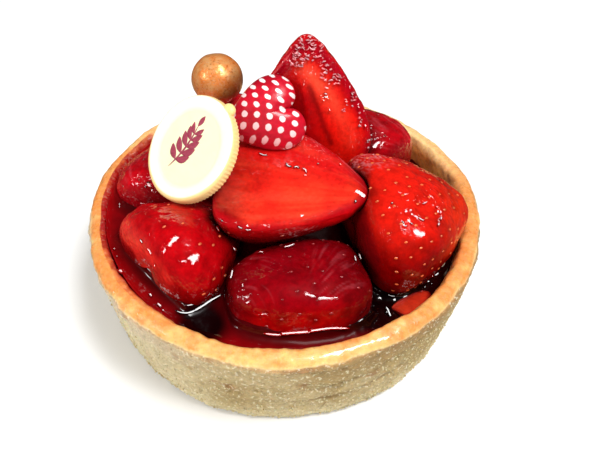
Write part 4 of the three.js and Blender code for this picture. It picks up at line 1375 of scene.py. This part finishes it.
# Threads and beads of glaze: each its half width, and pixels across and down of places that it runs through
THREADS = [
    (1.0, 351, 92, 353, 96.5), (0.9, 357.5, 106, 359.4, 109), (1.0, 364.6, 124, 366, 128),
    (0.8, 329, 108, 330, 112), (1.1, 285, 163.5, 288, 166, 292, 166.8), (1.1, 293, 168, 296, 167, 300, 168),
    (1.1, 301, 168.4, 305, 170, 307, 173.4), (0.8, 303, 175, 307.5, 175.6), (0.9, 317, 163.6, 319, 164),
    (1.0, 339.5, 164, 341, 165), (1.1, 355, 200, 355.8, 203), (0.9, 237, 226, 240, 228, 243, 228.6),
    (0.9, 244.5, 229.8, 248, 230.4, 252, 229), (0.8, 258, 153.4, 263, 155, 268, 155),
    (1.2, 221, 220, 222, 222), (0.9, 139.5, 239.5, 142.5, 243.5), (0.9, 146, 249, 149, 250.6, 151.6, 256),
    (1.0, 153.5, 268, 155.3, 263.5), (0.9, 353.5, 255.5, 356.8, 261.5), (1.0, 358.2, 253.5, 361.8, 260),
    (0.7, 242, 283, 243, 288), (0.8, 403, 229, 406, 231), (0.8, 391, 203.6, 393, 202.6),
    (1.1, 435.6, 205.8, 438, 208), (1.3, 439.8, 210.4, 441, 214), (1.3, 441.2, 216.6, 440.6, 220.4),
    (1.2, 439.6, 222.6, 437.4, 226.4), (1.0, 418, 217, 421, 219.5, 424.6, 221),
    (0.8, 422.4, 203.8, 427, 202.2), (0.7, 402, 221, 404, 224), (0.6, 404.6, 227, 407, 225),
    (0.7, 410, 222.6, 412.6, 224.6), (1.5, 320, 95.6, 321.8, 96.2), (1.6, 323.8, 97, 325.6, 97.6),
    (1.3, 327, 98.6, 328.4, 99), (1.0, 322.6, 100.2, 324.2, 101), (0.9, 323.6, 93.6, 327.4, 94.6),
    (0.9, 344.6, 103.6, 347.4, 100), (0.9, 146, 183, 151, 182), (0.9, 148, 187.4, 152.6, 189),
    (0.7, 144.4, 186, 146.4, 188.4),
    (1.7, 263, 334, 272, 334.8, 281, 334.6, 295, 333, 309.7, 331.5, 330, 328.4, 349, 329),
    (1.7, 174.4, 311.4, 181, 313, 190, 312.4, 200.4, 307.3, 211.6, 300.2, 221.3, 295.6),
    (1.3, 216.6, 226, 219.2, 232), (1.0, 221.4, 220.5, 222.4, 221.8), (1.1, 233, 245.5, 235.2, 252),
    (1.4, 230, 279.5, 231.4, 275, 232.2, 269.5), (0.9, 245.5, 251, 248.5, 252),
    (1.0, 258, 252.8, 261, 252, 264, 252.8), (1.1, 283.5, 247, 288, 246.4, 295, 244),
    (1.4, 386.5, 294, 391, 296, 396, 296.4), (1.5, 384.6, 306.5, 387.4, 310.4, 389.4, 314, 391.5, 317),
    (1.1, 385.5, 313, 388.6, 311), (1.3, 114.6, 247.8, 115.8, 249.6), (1.1, 117.2, 256, 118.4, 256.8),
    (2.8, 118.6, 269.6, 122, 271, 125, 273), (1.3, 148.6, 293.2, 152.4, 297),
    (1.5, 156, 303.4, 159, 305, 162, 307.6), (0.8, 162, 309.5, 164, 311), (1.0, 424, 287, 425.4, 287.4),
    (1.2, 427.4, 281.4, 428.8, 282), (0.8, 432, 276.6, 433, 276.2), (0.9, 436, 274, 437, 275),
    (0.7, 421.4, 291.4, 422.4, 291), (0.8, 431, 284, 432, 283.4),
]

# Left of this place the threads mirror the left light, in millimetres
LEFT_LIT = -30.0
# Length of a step in a long thread, and how far a thread stands out of the surface
THREAD_STEP = 6.0
THREAD_LIFT = 0.1
# How far from a thread's middle and how near to its path the surface is looked for, in pixels, and by how
# much the distance from the camera may change along a thread
SEARCH_WINDOW = 60
SEARCH_REACH = 2.0
DEEPEST = 8.0
# Painted sheen: the pale red that is mixed into the wrinkles, and its share
WRINKLE_SHEEN_TINT = (240, 150, 158)
WRINKLE_SHEEN_SHARE = 0.28


def make_glaze_threads(surface, colours):
    """Threads and beads of glaze, each a flat-topped tube on what shows at its pixels and coloured as that
    is. Its section is the point at angle a, half width times the root of |cos a| sideways and a third of
    that times the root of |sin a| outwards, with their signs. Its flat side faces the way that mirrors a
    light, and a long thread steps down along that way at every few millimetres to keep it so."""
    around = 12
    across, down, far = in_photo(surface)
    angle = full_turn(around)
    sideways = (np.sign(np.cos(angle)) * np.abs(np.cos(angle)) ** 0.5)[:, None]
    outwards = (np.sign(np.sin(angle)) * np.abs(np.sin(angle)) ** 0.5 * 0.35)[:, None]
    strokes = [(row[0], np.reshape(row[1:], (-1, 2)), 1.0) for row in THREADS]
    strokes += [stroke for group in WRINKLE_GROUPS for stroke in flecks(*group)]
    threads, tints, wets, faces = [], [], [], []
    for number, (half_width, pixels, wet) in enumerate(strokes):
        rows = int(np.clip(1.2 * np.linalg.norm(np.subtract(pixels[-1], pixels[0])), 8, 100))
        along = np.linspace(0, 1, rows)
        swell = np.maximum(1 - np.abs(2 * along - 1) ** 5, 0.03) ** 0.5
        path = smooth_path(pixels, rows)
        centre = path.mean(0)
        near = np.maximum(np.abs(across - centre[0]), np.abs(down - centre[1])) < SEARCH_WINDOW
        off = np.hypot(across[near] - path[:, :1], down[near] - path[:, 1:])
        ahead = np.where(off < SEARCH_REACH, far[near], np.inf).min(1)
        if not np.isfinite(ahead).all() or np.ptp(ahead) > DEEPEST:
            continue
        ahead = np.polyval(np.polyfit(along, ahead, min(len(pixels), 4) - 1), along)
        middle = from_photo(path[:, 0], path[:, 1], ahead)
        way = shining_way(middle.mean(0), LEFT_WAY if middle[:, 0].mean() < LEFT_LIT else KEY_WAY)
        rise = middle @ way
        steps = max(1, round(np.linalg.norm(middle[-1] - middle[0]) / THREAD_STEP))
        tooth = np.minimum((along * steps).astype(int), steps - 1)
        level = (np.bincount(tooth, rise) / np.bincount(tooth))[tooth]
        width = half_width * ahead.mean() * CAMERA_FILM / CAMERA_LENS / PHOTO_SIZE[0]
        middle = middle + (level - rise + THREAD_LIFT + 0.5 * width)[:, None] * way
        side = unit(np.cross(way, middle[-1] - middle[0]))
        width = width * swell * (1 + 0.15 * noise(middle, 1.3, 200 + number))
        grid = middle[:, None] + width[:, None, None] * (side * sideways + way * outwards)
        faces.append(closed_grid(rows, around, sum(len(part) for part in threads)))
        threads.append(with_poles(grid))
        tint = colours[near][off[rows // 2].argmin()] * 0.9
        # Painted sheen: the wrinkles of glaze are tinted pale.
        if number >= len(THREADS):
            tint = layered(tint, (WRINKLE_SHEEN_TINT, WRINKLE_SHEEN_SHARE))
        tints.append(np.repeat(tint[None], len(threads[-1]), 0))
        wets.append(np.full(len(threads[-1]), wet))
    faces = [np.concatenate(parts) for parts in zip(*faces)]
    values = {"colour": np.concatenate(tints), "wetness": np.concatenate(wets)}
    piece = make_piece("glaze_threads", np.concatenate(threads), faces, jelly_finish("clear_glaze"), values)


def make_cream():
    """The pastry cream: a level fill with one dab that stands out of the jelly, the upper half of a turned
    oval."""
    rows, around = 120, 240
    share = np.linspace(0.006, 1, rows)[:, None]
    grid = round_axis((inner_radius(CREAM_LEVEL) - GAP) * share, full_turn(around), CREAM_LEVEL)
    dx, dy = grid[..., 0] - DAB_MIDDLE[0], grid[..., 1] - DAB_MIDDLE[1]
    c, s = np.cos(DAB_TURN), np.sin(DAB_TURN)
    u, v = (dx * c + dy * s) / DAB_RADII[0], (dy * c - dx * s) / DAB_RADII[1]
    dab = DAB_MIDDLE[2] + DAB_RADII[2] * np.sqrt(np.clip(1 - u * u - v * v, 0, 1))
    grid[..., 2] = np.maximum(CREAM_LEVEL, dab * (u * u + v * v < 1))
    grid[..., 2] += 0.12 * rough_noise(grid, 2.5, 81, 2) * (grid[..., 2] > CREAM_LEVEL)
    grid = closed_below(grid, FLOOR_THICKNESS + GAP, GAP, (1, 0.5))
    points = with_poles(grid)
    tone = eased(-0.4, 0.8, rough_noise(points, 2.0, 83, 2))
    colour = layered(linear(244, 222, 190), ((232, 190, 168), tone))
    values = {"Roughness": 0.4, "Subsurface Weight": 0.2, "Subsurface Radius": (1.0, 0.7, 0.4),
              "Subsurface Scale": 1.0 * MM, "Coat Weight": 0.6, "Coat Roughness": 0.1}
    finish = smooth_finish("pastry_cream_satin", values, 1.5, 0.05, 0.15)
    faces = closed_grid(len(grid), around)
    piece = make_piece("smooth_pastry_cream", points, faces, finish, {"colour": colour})
    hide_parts("pastry_cream")


# Decorations

def placing(middle, face, up_side):
    """Middle and axes, as rows, of a piece that faces along face with its own y axis towards up_side."""
    z = unit(face)
    x = unit(np.cross(up_side, z))
    return np.array(middle), np.array([x, np.cross(z, x), z])


def make_medallion():
    """White chocolate medallion: a profile turned round its middle, with a raised border, a field inside it,
    fine moulding ripples on the side and a small nib at the edge."""
    half = DISC_THICKNESS / 2
    field = half - BORDER_HEIGHT
    corners = [
        [0.1, -half], [5, -half], [DISC_RADIUS - DISC_BEVEL - 0.4, -half], [DISC_RADIUS - 0.2, -half + 0.25],
        [DISC_RADIUS, -half + DISC_BEVEL + 0.1], [DISC_RADIUS, half - DISC_BEVEL - 0.1],
        [DISC_RADIUS - 0.22, half - 0.22], [DISC_RADIUS - DISC_BEVEL - 0.1, half],
        [DISC_RADIUS - BORDER_WIDTH + 0.1, half - 0.06], [DISC_RADIUS - BORDER_WIDTH - 0.9, field + 0.1],
        [DISC_RADIUS - BORDER_WIDTH - 1.7, field], [4, field], [0.1, field],
    ]
    path = smooth_path(corners, 120)
    angle = full_turn(360)
    r, h = path[:, :1], path[:, 1:]
    side = bell((r - DISC_RADIUS) / 0.25) * eased(half, -half * 0.4, h)
    r = r + 0.13 * side * np.sin(84 * angle) + 0.06 * eased(9, 11, r) * np.sin(3 * angle + 1)
    grid = round_axis(r, angle, h)
    grid[..., 2] += 0.05 * noise(grid, 4.0, 91) * eased(0.2, 1.5, r)
    middle, axes = placing(DISC_MIDDLE, DISC_FACE, (0, 0, 1))
    disc = with_poles(grid)
    ball, ball_faces = ball_shape(16, 24)
    nib = ball * NIB_RADII + [DISC_RADIUS * np.cos(NIB_ANGLE), DISC_RADIUS * np.sin(NIB_ANGLE), 0]
    local = np.concatenate([disc, nib])
    points = local @ axes + middle
    faces = [*closed_grid(len(path), len(angle)), *(part + len(disc) for part in ball_faces)]
    radius = np.hypot(local[:, 0], local[:, 1])
    low_edge = eased(4.0, -7.0, local[:, 1])
    warm = eased(10.7 - 0.7 * low_edge, 10.9 - 0.5 * low_edge, radius)
    inner = eased(8.8, 7.6, radius) * (local[:, 2] > 0)
    colour = layered(linear(252, 250, 226), ((250, 216, 146), warm), ((250, 246, 192), 0.8 * inner))
    values = {"Roughness": 0.35, "Specular IOR Level": 0.45, "Subsurface Weight": 0.25,
              "Subsurface Radius": (1.0, 0.8, 0.5), "Subsurface Scale": 1.0 * MM}
    finish = smooth_finish("ivory_chocolate", values, 2.5, 0.025, 0.06)
    piece = make_piece("ivory_medallion", points, faces, finish, {"colour": colour})
    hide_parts("chocolate_medallion")
    return middle, axes, field


def thin_leaf(start, way, length, width, bend, count=18):
    """A flat pointed leaf or stem, a closed thin lens: its half width is width times sin(pi t)^0.8 at a share
    t of its length, and its middle line bends aside by bend times sin(pi t)."""
    t = np.linspace(0, 1, count + 2)[1:-1, None, None]
    turn = full_turn(10)[:, None]
    start, way = np.array([*start, 0]), unit(np.array([*way, 0.0]))
    aside = np.array([-way[1], way[0], 0])
    half = width * np.sin(np.pi * t) ** 0.8
    line = start + way * (t * length) + aside * (bend * np.sin(np.pi * t))
    grid = line + aside * (half * np.cos(turn)) + np.array([0, 0, 0.07]) * np.sin(turn)
    return np.concatenate([grid.reshape(-1, 3), [start, start + way * length]]), closed_grid(count, 10)


# The sprig's stem: its foot, its way up, its length and how far it bends aside
STEM_FOOT = (-2.6, -6.0)
STEM_WAY = (0.1, 1)
STEM_LENGTH = 10.6
STEM_BEND = -0.7
# Its pairs of leaves, each as the height on the stem and the size
LEAF_PAIRS = [(-3.9, 1.0), (-2.2, 1.0), (-0.5, 0.94), (1.1, 0.84), (2.5, 0.7)]


def make_sprig(middle, axes, field):
    """A small generic sprig printed on the medallion's field: a bent stem, five pairs of leaves and one at
    the top, as thin raised shapes."""
    shapes = [thin_leaf(STEM_FOOT, STEM_WAY, STEM_LENGTH, 0.24, STEM_BEND, 40)]
    for k, (height, size) in enumerate(LEAF_PAIRS):
        rise = height - STEM_FOOT[1]
        x = STEM_FOOT[0] + STEM_WAY[0] * rise - STEM_BEND * np.sin(np.pi * rise / STEM_LENGTH)
        for way in (-1, 1):
            lean = (way * 0.95, 0.75 + 0.12 * k)
            shapes.append(thin_leaf((x + 0.1 * way, height), lean, 3.6 * size, 0.78 * size, -0.25 * way))
    shapes.append(thin_leaf((-1.55, 4.2), STEM_WAY, 2.5, 0.6, 0.0))
    faces, start = [], 0
    for shape, parts in shapes:
        faces.extend(part + start for part in parts)
        start += len(shape)
    local = np.concatenate([shape for shape, _ in shapes]) + [0.5, 0.3, field + 0.04]
    world = local @ axes + middle
    values = {"colour": np.tile(linear(158, 58, 78), (len(world), 1))}
    finish = smooth_finish("burgundy_print", {"Roughness": 0.5, "Specular IOR Level": 0.4}, 0.4, 0.2, 0.02)
    piece = make_piece("medallion_sprig", world, faces, finish, values)


# The heart's outline: what cos a, cos 2a, cos 3a and cos 4a are multiplied by, and the length that gives
HEART_WAVES = (13, -4, -1.4, -0.4)
HEART_WAVES_LENGTH = 26.6


def make_heart():
    """Puffed chocolate heart: its outline shrinks and rises ring by ring to the ridge, its sides fall away
    from the line between notch and point, and a soft groove runs in from the notch."""
    around, rows = 400, 120
    turn = full_turn(around)
    waves = sum(size * np.cos(k * turn) for k, size in enumerate(HEART_WAVES, 1))
    x = -waves * HEART_LENGTH / HEART_WAVES_LENGTH
    y = HEART_WIDTH / 2 * np.sin(turn) ** 3
    half, wall = HEART_THICKNESS / 2, 0.24 * HEART_THICKNESS
    lean = np.linspace(0, 0.985, rows)[:, None] * np.pi / 2
    share = np.cos(lean) ** 0.8
    height = wall - half + (HEART_THICKNESS - wall) * np.sin(lean)
    edge = [[0.9, -half + 0.02], [0.97, 0.25 * wall - half], [1.0, 0.6 * wall - half]]
    back = smooth_path([[0.3, -half], [0.7, -half], *edge], 26)
    share = np.concatenate([back[:, :1], share])
    height = np.concatenate([back[:, 1:], height])
    px, py = x * share, y * share
    z = height - 0.24 * py**2 / HEART_WIDTH
    notch = bell(py / 1.1) * eased(-1.0, -6.0, px) * (height > -0.5)
    z = z - 0.7 * notch
    grid = np.stack([px, py, z + 0 * px], -1)
    grid[..., 2] += 0.06 * noise(grid, 3.0, 95) * (height > 0)
    middle, axes = placing(HEART_MIDDLE, HEART_FACE, np.cross(HEART_FACE, HEART_POINTS))
    local = with_poles(grid)
    world = local @ axes + middle
    world, _ = pressed(world, HEART_MIDDLE, list(BERRIES.values()), GAP * 0.8)
    u, v = local[:, 0], local[:, 1]
    terms = np.stack([u, v, 0 * u + 1, u * u, u * v, v * v], -1)
    place = np.concatenate([terms @ np.array(SPOT_GRID) + 20.5, 0 * u[:, None]], 1)
    colour = layered(linear(176, 4, 30), ((204, 10, 40), eased(-0.5, 0.8, noise(local, 4.0, 97))))
    # Painted light: the spots whiter higher up and to the right, where the light falls, and pinker below.
    tone = np.clip(0.45 + 0.09 * (world[:, 2] - 40.5) + 0.05 * (world[:, 0] + 4), 0, 1)
    values = {"colour": colour, "print": place, "tone": tone}
    piece = make_piece("spotted_heart", world, closed_grid(len(grid), around), spotted_finish(), values)
    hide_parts("chocolate_heart")


# The print's grid: its two coordinates, in cells, as sums of u, v, 1, uu, uv and vv of a place on the heart.
# The last three follow the grid as it wraps over the puffed face.
SPOT_GRID = [[-0.3687, -0.2233], [0.1378, -0.4269], [1.557, 1.0415],
             [0.0015, 0.0108], [0.0108, 0.0076], [0.0124, 0.0099]]
SPOT_CELL = (2.54, 2.08)
SPOT_RADIUS = 0.62


def make_pearl():
    """Bronze pearl: a ball with slow dents of a tenth of a millimetre, darker at the lower right by painted
    shade and a painted reflection of the dark fruit."""
    ball, faces = ball_shape(120, 200)
    shade = 0.85 * eased(0.35, 1.05, ball @ unit((0.85, -0.42, -0.32)))
    points = ball * PEARL_RADIUS
    points = points + ball * (0.09 * rough_noise(points, 3.0, 99))[:, None] + np.array(PEARL_MIDDLE)
    piece = make_piece("bronze_pearl", points, faces, bronze_finish(), {"shade": shade})
    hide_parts("chocolate_pearl")


# Scene

# Light from all round, and how much of it shows in glossy reflections
WORLD_LIGHT = 0.38
WORLD_GLOSS = 0.01
# Half the floor's side and how far it lies under the tartlet, in metres
FLOOR_REACH = 3.0
FLOOR_DROP = 0.00005


def make_camera():
    """The camera stands where the photograph's stood."""
    right, up, ahead = camera_axes()
    matrix = np.eye(4)
    matrix[:3, :4] = np.stack([right, up, -ahead, CAMERA_PLACE * MM], -1)
    data = bpy.data.cameras.new("camera")
    data.lens = CAMERA_LENS
    data.sensor_width = CAMERA_FILM
    data.clip_start, data.clip_end = 0.005, 20.0
    camera = bpy.data.objects.new("camera", data)
    camera.matrix_world = Matrix(matrix.tolist())
    bpy.context.scene.collection.objects.link(camera)
    bpy.context.scene.camera = camera


def make_light(name, way, distance, size, power, shows=True):
    """A square soft light at a distance along a direction from the tartlet, facing it. One that doesn't show
    is left out of glossy reflections."""
    data = bpy.data.lights.new(name, "AREA")
    data.shape = "SQUARE"
    data.size = size
    data.energy = power
    light = bpy.data.objects.new(name, data)
    light.visible_glossy = shows
    z = unit(way)
    x = unit(np.cross((0, 1, 0), z))
    matrix = np.eye(4)
    matrix[:3, :4] = np.stack([x, np.cross(z, x), z, z * distance + [0, 0, LIGHTS_AIM]], -1)
    light.matrix_world = Matrix(matrix.tolist())
    bpy.context.scene.collection.objects.link(light)


def make_stage():
    """A plain pale floor under even soft light."""
    signs = ((-1, -1), (1, -1), (1, 1), (-1, 1))
    corners = [(x * FLOOR_REACH, y * FLOOR_REACH, -FLOOR_DROP) for x, y in signs]
    mesh = bpy.data.meshes.new("pale_floor")
    mesh.from_pydata(corners, [], [(0, 1, 2, 3)])
    mesh.materials.append(floor_finish())
    floor = bpy.data.objects.new("pale_floor", mesh)
    bpy.context.scene.collection.objects.link(floor)
    world = bpy.data.worlds.new("studio")
    world.use_nodes = True
    tree = world.node_tree
    tree.nodes["Background"].inputs[0].default_value = (1, 1, 1, 1)
    glossy = add_node(tree, "LightPath").outputs["Is Glossy Ray"]
    tree.links.new(spread(tree, glossy, 0, 1, WORLD_LIGHT, WORLD_GLOSS), tree.nodes["Background"].inputs[1])
    bpy.context.scene.world = world
    make_light("fill", (-0.2, -0.87, 0.45), distance=0.8, size=0.5, power=1.6, shows=False)
    make_light("key", KEY_WAY, LIGHT_DISTANCE, size=0.22, power=3.5)
    make_light("left", LEFT_WAY, LIGHT_DISTANCE, size=0.13, power=0.95)
    bpy.context.scene.view_settings.view_transform = "Standard"


make_camera()
make_stage()
make_crumbs(make_shell())
make_cream()
jelly = make_jelly()
berries = make_berries()
# The threads lie on what shows of both, so they take the points and the colours of the two together.
make_glaze_threads(*(np.concatenate(both) for both in zip(jelly, berries)))
make_sprig(*make_medallion())
make_heart()
make_pearl()
